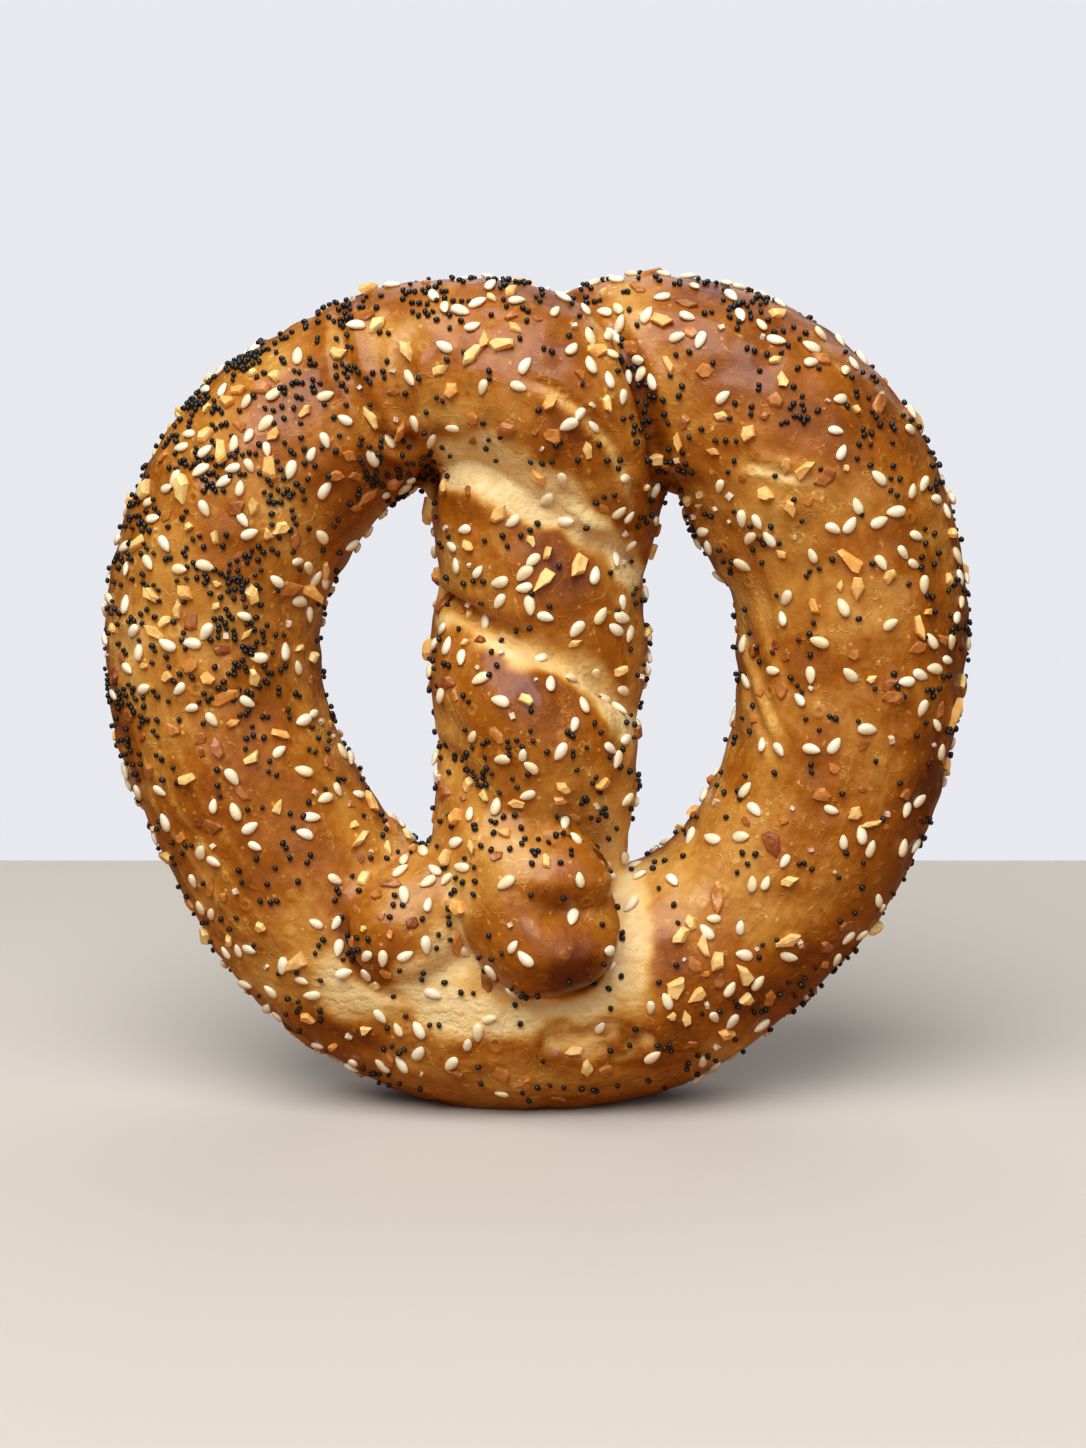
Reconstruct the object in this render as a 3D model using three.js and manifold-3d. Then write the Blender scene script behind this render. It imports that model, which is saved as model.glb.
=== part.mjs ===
// A soft pretzel with an everything topping: one thick rope of dough, bent into a loop, its two ends
// twisted round each other down the middle and pressed on to the front of the loop's lowest stretch.
// Millimetres, +Z up. It stands on a flat spot at the origin, and its face looks along -Y.

import * as THREE from "three";
import { LoftGeometry } from "three/addons/geometries/LoftGeometry.js";
import { mergeVertices } from "three/addons/utils/BufferGeometryUtils.js";
import Module from "manifold-3d";

const wasm = await Module();
wasm.setup();

// The loop. Angles run anticlockwise from +X as seen from the front, in degrees.
const LOOP_RADIUS = 52.4;
const LOOP_HEIGHT = 70.5;
const LOOP_ANGLES = [112.5, 427.5];
const LOOP_STEP = 22.5;
const LOOP_LEAN = 3;
const SHOULDERS = [
  { at: 142, rise: 8, span: 73 },
  { at: 47, rise: 8.3, span: 63 },
  { at: 108, rise: 0.9, span: 24 },
  { at: 72, rise: 2.1, span: 28 },
  { at: 247, rise: 0.6, span: 35 },
  { at: 315, rise: -0.4, span: 30 },
];

// Half the rope's thickness round the loop, and where it swells or narrows.
const ROPE_RADIUS = 18.1;
const ROPE_SWELLS = [
  { at: 10, rise: 1.3, span: 80 },
  { at: 50, rise: 2.5, span: 40 },
  { at: 137, rise: 1, span: 40 },
  { at: 225, rise: 0.8, span: 40 },
  { at: 270, rise: 2.7, span: 60 },
  { at: 315, rise: -0.7, span: 30 },
  { at: 108, rise: -1.2, span: 24 },
  { at: 72, rise: -2.7, span: 28 },
];
const ROPE_FLATNESS = 0.94;

// The twist. A strand's turn is 0 where it crosses the front, and 90 where it is at the right. The left
// strand would cross the front at the top height, and the right one half a turn later.
const LEFT_TURNS = [90, 315];
const RIGHT_TURNS = [270, 540];
const TWIST_TOP = 116.3;
const TWIST_PITCH = 49.2;
const TWIST_STEP = 45;
const TWIST_OFFSET = 4.9;
const TWIST_SPREAD = 2.2;
const TWIST_LEAN = 2.4;
const TWIST_MIDDLE = 79;
const TWIST_FORWARD = 9;
const TWIST_FOOT = 48;
const STRAND_RADIUS = 14.4;
const STRAND_SWELL = 2;

// Where the loop turns down into the strands, and the rope's ends: the centre of each station, then half
// its width and half its depth.
const LEFT_ARM = [
  { at: [-10.5, -1.5, 126.8], width: 16.6, depth: 16.4 },
  { at: [4.5, -4.5, 121], width: 16.8, depth: 16 },
];
const RIGHT_ARM = [
  { at: [11, 6, 125.6], width: 16.6, depth: 16 },
  { at: [-2, 9.5, 119], width: 16.3, depth: 15 },
];
const LEFT_FOOT = [
  { at: [0.9, -7.9, 67.1], width: 15.4, depth: 14.4 },
  { at: [0, -6, 57], width: 16.7, depth: 13 },
  { at: [-0.4, -5, 46], width: 16.2, depth: 12.5 },
  { at: [0, -1, 33], width: 14, depth: 12.5 },
];
const KNOB = [
  { at: [-7, -10.5, 44.5], width: 12, depth: 11.5 },
  { at: [-0.5, -18, 38], width: 12.4, depth: 10.5 },
  { at: [7.5, -22.5, 25.2], width: 12.2, depth: 8 },
];
const NUB = [
  { at: [0, -4, 44], width: 9.5, depth: 9 },
  { at: [-11, -8, 40], width: 9.5, depth: 9 },
  { at: [-21.5, -13, 35.5], width: 10.4, depth: 9.5 },
  { at: [-31, -15.5, 26.5], width: 10.4, depth: 9 },
];

// A finger's dimple in the knob: its centre and half sizes.
const DIMPLE = { at: [7.6, -27.5, 40.2], half: [6.5, 6, 4.5] };

// The underside that lay on the baking tray is flattened, from this depth towards the tray.
const BACK_STARTS = 8;
const BACK_TRAY = 16;

// The toppings: half length, half width and half thickness, and how far each sits in the crust.
const SESAME = { count: 110, half: [1.75, 1.1, 0.75], sunk: 0.25, gap: 6.5 };
const FLAKE = { count: 38, half: [2.3, 1.4, 0.6], sunk: 0.2, gap: 8.5 };
const FLAKE_CORNERS = 5;
const FLAKE_TAPER = 0.85;
const TOPPING_FROM_FLOOR = 5;
const TOPPING_FACES_BACK = 0.35;
const TOPPING_BACK_EVERY = 3;
const TOPPING_TRIES = 40;
const GOLDEN_STEPS = [0.8191725134, 0.6710436067, 0.5497004779];

// Two points of the rope belong to neighbouring strands when they are this far apart along it.
const STRETCH_APART = 45;
const COVER_MARGIN = 1;

// The rope is relaxed so that it has no kinks, and its ends are rounded over this length.
const SPINE_STEP = 3;
const RELAX_PASSES = 6;
const END_ROUND = 12;

// How finely the surfaces are split: sides of a section, distance between sections along the loop and
// along the strands, and sections of a rounded end. The loop lies between these shares of the rope.
const SIDES = 22;
const LOOP_SECTION = 7.5;
const STRAND_SECTION = 4.5;
const END_SECTIONS = 5;
const DIMPLE_SIDES = 14;
const LOOP_SHARE = [0.25, 0.735];
const MERGE_WITHIN = 1e-4;

// The block below the resting spot that the loop's lowest stretch is cut flat with.
const FLOOR_SIZE = 400;

const FRONT = new THREE.Vector3(0, -1, 0);
const UP = new THREE.Vector3(0, 0, 1);
const radians = THREE.MathUtils.degToRad;

// A smooth hill of height rise, centred at an angle, that ends span degrees to either side.
function hill(angle, { at, rise, span }) {
  const away = Math.abs(((angle - at + 540) % 360) - 180);
  return away < span ? (rise * (1 + Math.cos((Math.PI * away) / span))) / 2 : 0;
}

const hills = (angle, list) => list.reduce((sum, one) => sum + hill(angle, one), 0);

// One station of the loop's centre line: a circle that bulges at the shoulders and leans back upwards.
function loopStation(angle) {
  const radius = LOOP_RADIUS + hills(angle, SHOULDERS);
  const width = ROPE_RADIUS + hills(angle, ROPE_SWELLS);
  const up = Math.sin(radians(angle));
  const at = [radius * Math.cos(radians(angle)), (LOOP_LEAN * (1 + up)) / 2, LOOP_HEIGHT + radius * up];
  return { at, width, depth: width * ROPE_FLATNESS };
}

// One station of a twisted strand: a helix about the middle of the loop, wider apart and thicker at its
// top, that comes forward on to the loop at its foot. High is the strand's height where its turn is 0.
function strandStation(turn, high) {
  const height = high - (TWIST_PITCH * turn) / 360;
  const top = THREE.MathUtils.smoothstep(height, TWIST_TOP - TWIST_PITCH / 2, TWIST_TOP + TWIST_PITCH / 8);
  const foot = 1 - THREE.MathUtils.smoothstep(height, TWIST_FOOT, TWIST_FOOT + TWIST_PITCH);
  const offset = TWIST_OFFSET + TWIST_SPREAD * top;
  const radius = STRAND_RADIUS + STRAND_SWELL * top;
  const x = (TWIST_LEAN * (height - TWIST_MIDDLE)) / TWIST_PITCH + offset * Math.sin(radians(turn));
  const y = LOOP_LEAN - TWIST_FORWARD * foot - offset * Math.cos(radians(turn));
  return { at: [x, y, height], width: radius, depth: radius };
}

function stations([from, to], step, station) {
  const count = Math.round((to - from) / step);
  return Array.from({ length: count + 1 }, (_, i) => station(from + i * step));
}

const evenly = (from, to, count) =>
  Array.from({ length: count + 1 }, (_, i) => THREE.MathUtils.lerp(from, to, i / count));

// A smooth line through points, the inner ones of which have moved towards the middle of their neighbours.
function relaxed(points) {
  let line = points;
  for (let pass = 0; pass < RELAX_PASSES; pass += 1) {
    line = line.map((point, i) => {
      const inner = i > 0 && i < line.length - 1;
      return inner ? line[i - 1].clone().lerp(line[i + 1], 0.5).lerp(point, 0.5) : point;
    });
  }
  return new THREE.CatmullRomCurve3(line);
}

// A rope through a list of stations: its centre line, its half sizes, and its length.
function makeRope(list) {
  const halves = list.map(({ width, depth }) => new THREE.Vector3(width, depth, 0));
  const spine = new THREE.CatmullRomCurve3(list.map(({ at }) => new THREE.Vector3(...at)));
  const girth = new THREE.CatmullRomCurve3(halves);
  const count = Math.round(spine.getLength() / SPINE_STEP);
  const places = evenly(0, 1, count).map((share) => spine.getUtoTmapping(share));
  const middle = relaxed(places.map((t) => spine.getPoint(t)));
  const size = relaxed(places.map((t) => girth.getPoint(t)));
  return { middle, size, length: middle.getLength() };
}

// The whole rope in order: left strand upwards, loop, right strand downwards. The nub is a short rope.
const rightHigh = TWIST_TOP + TWIST_PITCH / 2;
const leftStrand = stations(LEFT_TURNS, TWIST_STEP, (turn) => strandStation(turn, TWIST_TOP));
const rightStrand = stations(RIGHT_TURNS, TWIST_STEP, (turn) => strandStation(turn, rightHigh));
const loop = stations(LOOP_ANGLES, LOOP_STEP, loopStation);
const leftSide = [...LEFT_ARM, ...leftStrand, ...LEFT_FOOT].reverse();
const rightSide = [...RIGHT_ARM, ...rightStrand, ...KNOB];
const mainRope = makeRope([...leftSide, ...loop, ...rightSide]);
const nubRope = makeRope(NUB);

// How much of the full section is left near a rope's two rounded ends.
function rounding(rope, t) {
  const fromEnd = (Math.min(t, 1 - t) * rope.length) / END_ROUND;
  return fromEnd < 1 ? Math.sqrt(1 - (1 - fromEnd) ** 2) : 1;
}

// Presses a point of the back towards the tray, and turns its normal with the surface.
function flattenBack(point, normal) {
  const room = BACK_TRAY - BACK_STARTS;
  if (point.y > BACK_STARTS) {
    const pressed = Math.tanh((point.y - BACK_STARTS) / room);
    point.y = BACK_STARTS + room * pressed;
    normal.y /= 1 - pressed * pressed;
  }
  return { point, normal: normal.normalize() };
}

// A rope's middle, its half sizes, and the directions to its front and its side, at t from 0 to 1.
function frameAt(rope, t) {
  const tangent = rope.middle.getTangent(t);
  const face = FRONT.clone().projectOnPlane(tangent).normalize();
  const side = new THREE.Vector3().crossVectors(tangent, face);
  const size = rope.size.getPoint(t).multiplyScalar(rounding(rope, t));
  return { middle: rope.middle.getPoint(t), face, side, width: size.x, depth: size.y };
}

// A point of a rope's surface and its outward normal: an ellipse round the middle, turned by angle.
function surfaceAt(rope, t, angle) {
  const { middle, face, side, width, depth } = frameAt(rope, t);
  const [sine, cosine] = [Math.sin(angle), Math.cos(angle)];
  const point = middle.clone().addScaledVector(side, width * sine).addScaledVector(face, depth * cosine);
  const normal = side.clone().multiplyScalar(sine / width).addScaledVector(face, cosine / depth);
  return flattenBack(point, normal);
}

function section(rope, t) {
  return Array.from({ length: SIDES }, (_, i) => surfaceAt(rope, t, (2 * Math.PI * i) / SIDES).point);
}

// Places for sections between two shares of a rope: evenly spread, and crowded where an end is rounded.
function sectionPlaces(rope, from, to, spacing) {
  const end = END_ROUND / rope.length;
  const crowd = Array.from({ length: END_SECTIONS }, (_, i) =>
    end * (1 - Math.cos((Math.PI * i) / (2 * END_SECTIONS))),
  );
  const first = Math.max(from, end);
  const last = Math.min(to, 1 - end);
  const between = evenly(first, last, Math.ceil(((last - first) * rope.length) / spacing));
  const before = from === 0 ? crowd : [];
  const after = to === 1 ? crowd.map((t) => 1 - t).reverse() : [];
  return [...before, ...between, ...after];
}

// A geometry as a solid: its vertices merged, and faces that shrank to a line or a point left out.
function solidOf(geometry) {
  const bare = new THREE.BufferGeometry().setAttribute("position", geometry.getAttribute("position"));
  const merged = mergeVertices(bare.setIndex(geometry.index), MERGE_WITHIN);
  const corners = Array.from(merged.index.array);
  const kept = [];
  for (let i = 0; i < corners.length; i += 3) {
    const [a, b, c] = corners.slice(i, i + 3);
    if (a !== b && b !== c && c !== a) kept.push(a, b, c);
  }
  return new wasm.Manifold(
    new wasm.Mesh({
      numProp: 3,
      vertProperties: merged.getAttribute("position").array,
      triVerts: new Uint32Array(kept),
    }),
  );
}

// The stretch of a rope between two shares of its length, capped unless it starts or ends the rope.
function stretch(rope, from, to, spacing) {
  const sections = sectionPlaces(rope, from, to, spacing).map((t) => section(rope, t));
  return solidOf(new LoftGeometry(sections, { capStart: from > 0, capEnd: to < 1 }));
}

// The largest body of a solid, without loose scraps and sealed hollows.
function mainBody(solid) {
  return solid.decompose().reduce((best, one) => (one.volume() > best.volume() ? one : best));
}

function makeDough() {
  const [start, end] = LOOP_SHARE;
  const whole = stretch(mainRope, start, end, LOOP_SECTION)
    .add(stretch(mainRope, 0, start, STRAND_SECTION))
    .add(stretch(mainRope, end, 1, STRAND_SECTION))
    .add(stretch(nubRope, 0, 1, STRAND_SECTION));
  const floor = new THREE.BoxGeometry(FLOOR_SIZE, FLOOR_SIZE, FLOOR_SIZE).translate(0, 0, -FLOOR_SIZE / 2);
  const dimple = new THREE.SphereGeometry(1, DIMPLE_SIDES, DIMPLE_SIDES / 2);
  dimple.scale(...DIMPLE.half).translate(...DIMPLE.at);
  return mainBody(whole.subtract(solidOf(floor)).subtract(solidOf(dimple)));
}

// Points along the ropes' middles, each with its half thickness there.
const samples = [mainRope, nubRope].flatMap((rope) =>
  evenly(0, 1, Math.round(rope.length / SPINE_STEP)).map((t) => {
    const { middle, width, depth } = frameAt(rope, t);
    return { rope, along: t * rope.length, middle, radius: (width + depth) / 2 };
  }),
);

// True where another stretch of the rope covers this point.
function isCovered(point, rope, along) {
  return samples.some((one) => {
    const neighbour = one.rope !== rope || Math.abs(one.along - along) > STRETCH_APART;
    return neighbour && one.middle.distanceTo(point) < one.radius + COVER_MARGIN;
  });
}

// Where toppings lie: places that fill the ropes evenly, fewer on the back, without those that are covered,
// lie near the floor or come too close to one that is already there.
function scatter({ count, gap }, taken) {
  const found = [];
  for (let n = 1; found.length < count && n < TOPPING_TRIES * count; n += 1) {
    const [place, round, spin] = GOLDEN_STEPS.map((step) => (n * step) % 1);
    const along = place * (mainRope.length + nubRope.length);
    const rope = along < mainRope.length ? mainRope : nubRope;
    const from = rope === mainRope ? along : along - mainRope.length;
    const { point, normal } = surfaceAt(rope, from / rope.length, 2 * Math.PI * round);
    const wanted = normal.y < TOPPING_FACES_BACK || n % TOPPING_BACK_EVERY === 0;
    const clear = point.z > TOPPING_FROM_FLOOR && !taken.some((other) => other.distanceTo(point) < gap);
    if (!wanted || !clear || isCovered(point, rope, from)) continue;
    taken.push(point);
    found.push({ point, normal, spin: 2 * Math.PI * spin });
  }
  return found;
}

// A topping laid flat on the crust, turned by its spin and sunk in a little.
function layOn(geometry, { half, sunk }, { point, normal, spin }) {
  const turn = new THREE.Quaternion().setFromUnitVectors(UP, normal);
  turn.multiply(new THREE.Quaternion().setFromAxisAngle(UP, spin));
  const lift = point.clone().addScaledVector(normal, half[2] * (1 - 2 * sunk));
  const matrix = new THREE.Matrix4().compose(lift, turn, new THREE.Vector3(...half));
  return solidOf(geometry.clone().applyMatrix4(matrix));
}

function makeToppings() {
  const taken = [];
  const seed = new THREE.OctahedronGeometry(1, 1);
  const flake = new THREE.CylinderGeometry(FLAKE_TAPER, 1, 2, FLAKE_CORNERS).rotateX(Math.PI / 2);
  const flakes = scatter(FLAKE, taken).map((spot) => layOn(flake, FLAKE, spot));
  const seeds = scatter(SESAME, taken).map((spot) => layOn(seed, SESAME, spot));
  return [...flakes, ...seeds];
}

function geometryOf(solid) {
  const { numProp, vertProperties, triVerts } = solid.getMesh();
  const positions = new THREE.InterleavedBuffer(vertProperties, numProp);
  return new THREE.BufferGeometry()
    .setAttribute("position", new THREE.InterleavedBufferAttribute(positions, 3, 0))
    .setIndex(new THREE.BufferAttribute(triVerts, 1));
}

const crust = new THREE.MeshStandardMaterial({ color: 0xb06f2c, roughness: 0.45, metalness: 0 });
const fused = makeToppings().reduce((whole, topping) => whole.add(topping), makeDough());
const pretzel = new THREE.Mesh(geometryOf(mainBody(fused)), crust);
pretzel.name = "pretzel";

const part = new THREE.Group();
part.add(pretzel);

export default part;
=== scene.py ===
"""A soft pretzel with an everything topping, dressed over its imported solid."""

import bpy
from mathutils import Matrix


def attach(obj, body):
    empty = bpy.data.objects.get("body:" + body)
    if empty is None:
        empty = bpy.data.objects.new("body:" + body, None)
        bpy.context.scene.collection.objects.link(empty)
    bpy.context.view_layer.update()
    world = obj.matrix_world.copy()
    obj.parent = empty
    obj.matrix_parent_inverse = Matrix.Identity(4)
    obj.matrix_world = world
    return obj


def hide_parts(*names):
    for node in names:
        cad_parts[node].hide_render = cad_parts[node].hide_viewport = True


bl_info = {
    "name": "Soft Pretzel",
    "version": (1, 0, 0),
    "blender": (4, 5, 0),
    "location": "View3D > Sidebar > Pretzel",
    "description": "Shapes a baked soft pretzel and scatters its seeds and flakes",
    "category": "Add Mesh",
}

import math
from typing import NamedTuple

import bpy
import numpy as np

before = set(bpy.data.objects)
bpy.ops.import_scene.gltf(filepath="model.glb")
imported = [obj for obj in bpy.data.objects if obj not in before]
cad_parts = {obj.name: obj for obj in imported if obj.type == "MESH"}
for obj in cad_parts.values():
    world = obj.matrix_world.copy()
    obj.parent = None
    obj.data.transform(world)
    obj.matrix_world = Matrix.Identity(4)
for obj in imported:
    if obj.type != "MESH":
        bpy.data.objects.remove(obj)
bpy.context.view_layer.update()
NODE = "pretzel"
BODY = "root"

# All places and sizes below are millimetres, and the meshes are metres.
MM = 0.001

# The loop of the rope. Angles run anticlockwise from +X as seen from the front, in degrees.
# Hills are rows of an angle, a rise and the span to either side of it.
LOOP_RADIUS = 52.4
LOOP_HEIGHT = 70.5
LOOP_ANGLES = (112.5, 427.5)
LOOP_STEP = 22.5
LOOP_LEAN = 3.0
SHOULDERS = ((142, 8.0, 73), (47, 8.3, 63), (108, 0.9, 24), (72, 2.1, 28), (247, 0.6, 35), (315, -0.4, 30))
ROPE_RADIUS = 18.1
ROPE_SWELLS = ((10, 1.3, 80), (50, 2.5, 40), (137, 1.0, 40), (225, 0.8, 40), (270, 2.7, 60),
               (315, -0.7, 30), (108, -1.2, 24), (72, -2.7, 28))
ROPE_FLATNESS = 0.94

# The twist. A strand's turn is 0 where it crosses the front, and 90 where it is at the right.
LEFT_TURNS = (90, 315)
RIGHT_TURNS = (270, 540)
TWIST_TOP = 116.3
TWIST_PITCH = 49.2
TWIST_STEP = 45
TWIST_OFFSET = 4.9
TWIST_SPREAD = 2.2
TWIST_LEAN = 2.4
TWIST_MIDDLE = 79.0
TWIST_FORWARD = 9.0
TWIST_FOOT = 48.0
STRAND_RADIUS = 14.4
STRAND_SWELL = 2.0

# Stations of the arms and ends: the middle's x, y and z, then half the width and half the depth.
LEFT_ARM = ((-10.5, -1.5, 126.8, 16.6, 16.4), (4.5, -4.5, 121, 16.8, 16))
RIGHT_ARM = ((11, 6, 125.6, 16.6, 16), (-2, 9.5, 119, 16.3, 15))
LEFT_FOOT = ((0.9, -7.9, 67.1, 15.4, 14.4), (0, -6, 57, 16.7, 13), (-0.4, -5, 46, 16.2, 12.5),
             (0, -1, 33, 14, 12.5))
KNOB = ((-7, -10.5, 44.5, 12, 11.5), (-0.5, -18, 38, 12.4, 10.5), (7.5, -22.5, 25.2, 12.2, 8))
NUB = ((0, -4, 44, 9.5, 9), (-11, -8, 40, 9.5, 9), (-21.5, -13, 35.5, 10.4, 9.5),
       (-31, -15.5, 26.5, 10.4, 9))

# The side that lay on the baking tray is flattened, from this depth towards the tray.
BACK_STARTS = 8.0
BACK_TRAY = 16.0

# How the rope is followed: splits of each stretch between stations, distance between samples, passes that
# relax it, length of its rounded ends, and sides of its section.
SPLITS = 24
SAMPLE_STEP = 1.5
RELAX_PASSES = 24
END_ROUND = 12.0
SIDES = 72
FRONT = np.array([0.0, -1.0, 0.0])

# How a vertex finds its strand: where distances along the nub start, how far along the rope another strand
# is, how much longer an edge becomes where it jumps to another strand, and in how many lots they are found.
NUB_ALONG = 1000.0
STRETCH_APART = 45.0
ROPE_JUMP = 3.0
LOTS = 24

# Passes that smooth the fused skin, the finished skin, its paleness and its seams.
FUSED_PASSES = 5
SKIN_PASSES = 1
PALE_PASSES = 2
SEAM_PASSES = 4

# Smooth fields are rows of a height, a wavelength and a seed. The number of waves in a row, and the shares
# between which they vary.
WAVE_COUNT = 28
WAVE_VARIES = (0.7, 1.3)
LUMPS = ((1.0, 34.0, 1), (0.45, 13.0, 2))
DENTS = (1.0, 6.0, 9)

# How far a face is turned to the front where it starts to count as the front, and where it does in full.
FRONT_FACING = (0.0, 0.3)

# The column of the two strands: half its width, spans over which its sides, foot and top fade, and the
# depths over which its front starts.
COLUMN_HALF = 13.0
COLUMN_EDGES = (15.0, 20.0)
COLUMN_FOOT = (52.0, 60.0)
COLUMN_TOP = (96.0, 104.0)
COLUMN_FRONT = (-3.0, 7.0)

# The line between the column's two creases: height at x = 0, slope, and span over which one gives way.
BETWEEN_CREASES = (91.8, -0.53)
BETWEEN_SPAN = (-3.0, 3.0)

# The creases are pulled up or down: height at x = 0, slope, half height and lift.
NUDGES = ((104.6, -0.66, 7.0, 1.5), (82.3, -0.68, 6.0, -1.2))

# Where a hole's top rises: x, z, half size and rise. Hollows of the upper crease that come forward, seen
# from the front: x, z, half length, half heights upwards and downwards, turn in degrees and how far.
HOLE_TOPS = ((-24.0, 105.0, 9.0, 2.4), (22.6, 104.0, 6.0, 3.6))
FORWARD = ((-12.5, 108.0, 6.5, 3.0, 6.0, -25.0, 2.4), (8.5, 100.6, 5.5, 2.2, 2.2, -33.0, 3.0))

# The line where two strands meet: its half width, heights over which it starts, how much of it the upper
# crease fills, and how much painted shade darkens pale dough along it. The fill of its notches in the
# outline: depth, half width and how far a face is turned away from the side.
CREASE_GAP = 1.3
CREASE_FOOT = (54.0, 66.0)
CREASE_FILLED = 0.75
CREASE_SHADE = 0.15
NOTCH_FILL = 1.8
NOTCH_GAP = 3.2
NOTCH_FACING = (0.1, 0.6)

# How far the dough stays pale below and above each crease, at the column's left and at its right edge,
# where it isn't seen from the front. Shares of that reach between which it fades, and its ragged edges.
UPPER_CREASE = ((5.4, 2.2), (1.5, 4.6))
LOWER_CREASE = ((3.0, 2.8), (2.8, 3.2))
CREASE_FADE = (0.5, 1.25)
CREASE_WAVES = ((0.5, 8.0, 3), (0.25, 3.0, 8))
CREASE_RAGGED = 0.2

# The pale dough in the creases, seen from the front: x, upper edge and lower edge. Spans over which the
# upper and lower edges fade, how pale the lower crease is, and where both end: at the sides, below and
# above.
UPPER_BAND = ((-16, 117.2, 107.4), (-9.8, 117.8, 105.8), (-6.6, 118.0, 104.8), (-3.2, 116.0, 103.2),
              (3.3, 111.8, 100.8), (8.7, 106.6, 98.2), (11.6, 103.4, 95.2), (16, 97.0, 89.6))
LOWER_BAND = ((-16, 88.5, 84.7), (-12.5, 86.4, 84.0), (-9.9, 85.5, 82.6), (-6.6, 85.2, 80.3),
              (-3, 84.4, 78.5), (3.3, 83.2, 77.0), (8.5, 81.2, 73.2), (11, 79.0, 70.2), (13.6, 75.2, 66.4),
              (15.5, 70.4, 63.5))
UPPER_FADE = (-3.0, 1.6)
LOWER_FADE = (-1.5, 1.7)
LOWER_PALE = 0.86
BAND_SIDES = (17.0, 19.0)
BAND_FOOT = (60.0, 66.0)
BAND_TOP = (118.0, 121.5)

# The right arm, which has no pale dough: x and height over which it starts.
ARM_SIDE = (12.5, 16.0)
ARM_FOOT = (99.0, 103.0)

# Folds in the crust, seen from the front: the path's x and z, depth, half width, lip, paleness and
# browning, which is painted shade: a darker line for the shade that falls in the fold's crease.
FOLDS = (
    (((-5, 127.1), (2.3, 124.8), (6.8, 121.5), (12.4, 115.7), (15.6, 108.2), (16.4, 103)),
     1.0, 0.8, 0.5, 0.75, 0.0),
    (((9.5, 141), (12.3, 135.7), (14.3, 131.7), (16.4, 127.3), (18.3, 122), (19.5, 116.2), (20, 110),
      (21, 98)),
     2.0, 1.2, 0.3, 0.0, 0.30),
    (((-17, 120), (-17.2, 115.5), (-18.2, 111.2), (-19.6, 107.5), (-21, 101)),
     2.2, 1.5, 0.0, 0.0, 0.08),
    (((-31.4, 130), (-29, 122.8), (-27.6, 119.3), (-26.2, 116.8), (-23, 115.4), (-19, 114.8)),
     1.9, 1.2, 0.8, 0.35, 0.05),
    (((-22, 134), (-22.1, 127), (-21.8, 120.5), (-21.2, 115.5), (-20.8, 111)),
     1.5, 1.4, 0.6, 0.25, 0.04),
    (((-33.5, 139), (-33, 134), (-32, 129), (-31.4, 124)),
     1.0, 1.3, 0.7, 0.4, 0.0),
    (((33, 112.6), (37, 112), (40.5, 110.8), (46, 110.4)),
     0.9, 0.8, 0.6, 0.9, 0.0),
    (((-34, 40), (-33.2, 34), (-32, 29.4), (-29.6, 25.8), (-26, 23.4), (-20, 22.4)),
     1.4, 0.9, 0.5, 0.0, 0.14),
    (((34.2, 92), (34.8, 88), (36, 82), (38, 75), (40.4, 69), (43, 64)),
     0.3, 0.8, 0.3, 0.4, 0.0),
    (((37, 96), (38, 90), (39.6, 83), (42, 76), (44, 71)),
     0.25, 0.8, 0.25, 0.3, 0.0),
    (((33, 84), (34.3, 78), (36.4, 71), (39, 65), (41, 61)),
     0.25, 0.8, 0.25, 0.3, 0.0),
)

# Shares of a fold's path over which it fades in and out. In half widths: where its lip lies, and the widths
# of its pale flank, of what it clears of pale dough and of its line of painted shade. How much pale dough it
# clears for that painted shade.
FOLD_ENDS = ((0.0, 0.25), (0.8, 1.0))
FOLD_LIP_AT = 1.7
FOLD_PALE_WIDTH = 1.3
FOLD_CLEAR_WIDTH = 1.5
FOLD_SHADE_WIDTH = 1.6
FOLD_SHADE_CLEARS = 3.0

# The knob's ridge and dimple: x, z, half length, half heights upwards and downwards, turn in degrees and
# rise. The depth that the knob starts in front of, and the span over which it does.
KNOB_FORMS = (
    (7.4, 46.2, 6.5, 3.4, 3.0, -40.0, 1.3),
    (5.4, 40.4, 8.6, 1.9, 4.8, -8.0, -4.2),
    (3.6, 31.5, 8.8, 3.2, 5.0, 0.0, 1.0),
)
KNOB_FROM = -14.0
KNOB_SPAN = (0.0, 3.0)

# The knob's upper edge, which lies over the column: its path's x and z, rise inside and its reach, drop
# outside and its reach, shares of the path over which it fades, and the painted shade of its line where the
# knob overhangs the column, with that line's half width.
KNOB_EDGE = ((-1, 51.5), (2.2, 52.0), (4.6, 51.8), (6.7, 50.9), (8.6, 49.3), (10.4, 46.6), (11.6, 43.2),
             (12.3, 39))
KNOB_EDGE_RISE = (2.2, 3.0)
KNOB_EDGE_DROP = (3.2, 3.4)
KNOB_EDGE_ENDS = ((0.0, 0.3), (0.85, 1.0))
KNOB_EDGE_SHADE = 0.16
KNOB_EDGE_LINE = 0.7

# The torn patch of the lowest stretch: x, z and half sizes, depth, the crumb's relief, the rim's height,
# where the patch starts and where its rim lies, how pale the crumb is, and how the rim clears pale dough
# and browns.
TORN = (10.1, 15.0, 9.5, 4.0)
TORN_DEPTH = 1.15
TORN_ROUGH = (0.30, 2.6, 5)
TORN_LIP = 0.45
TORN_WAVES = ((0.24, 7.0, 13), (0.12, 3.0, 14))
TORN_EDGE = (0.37, 0.47)
TORN_RIM = 0.33
TORN_RIM_WIDTH = 0.08
TORN_RIM_CLEARS = 0.75
TORN_RIM_BROWNS = 0.06
TORN_PALE = 0.60
TORN_CRUMB = (0.16, 3.5, 6)

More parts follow.
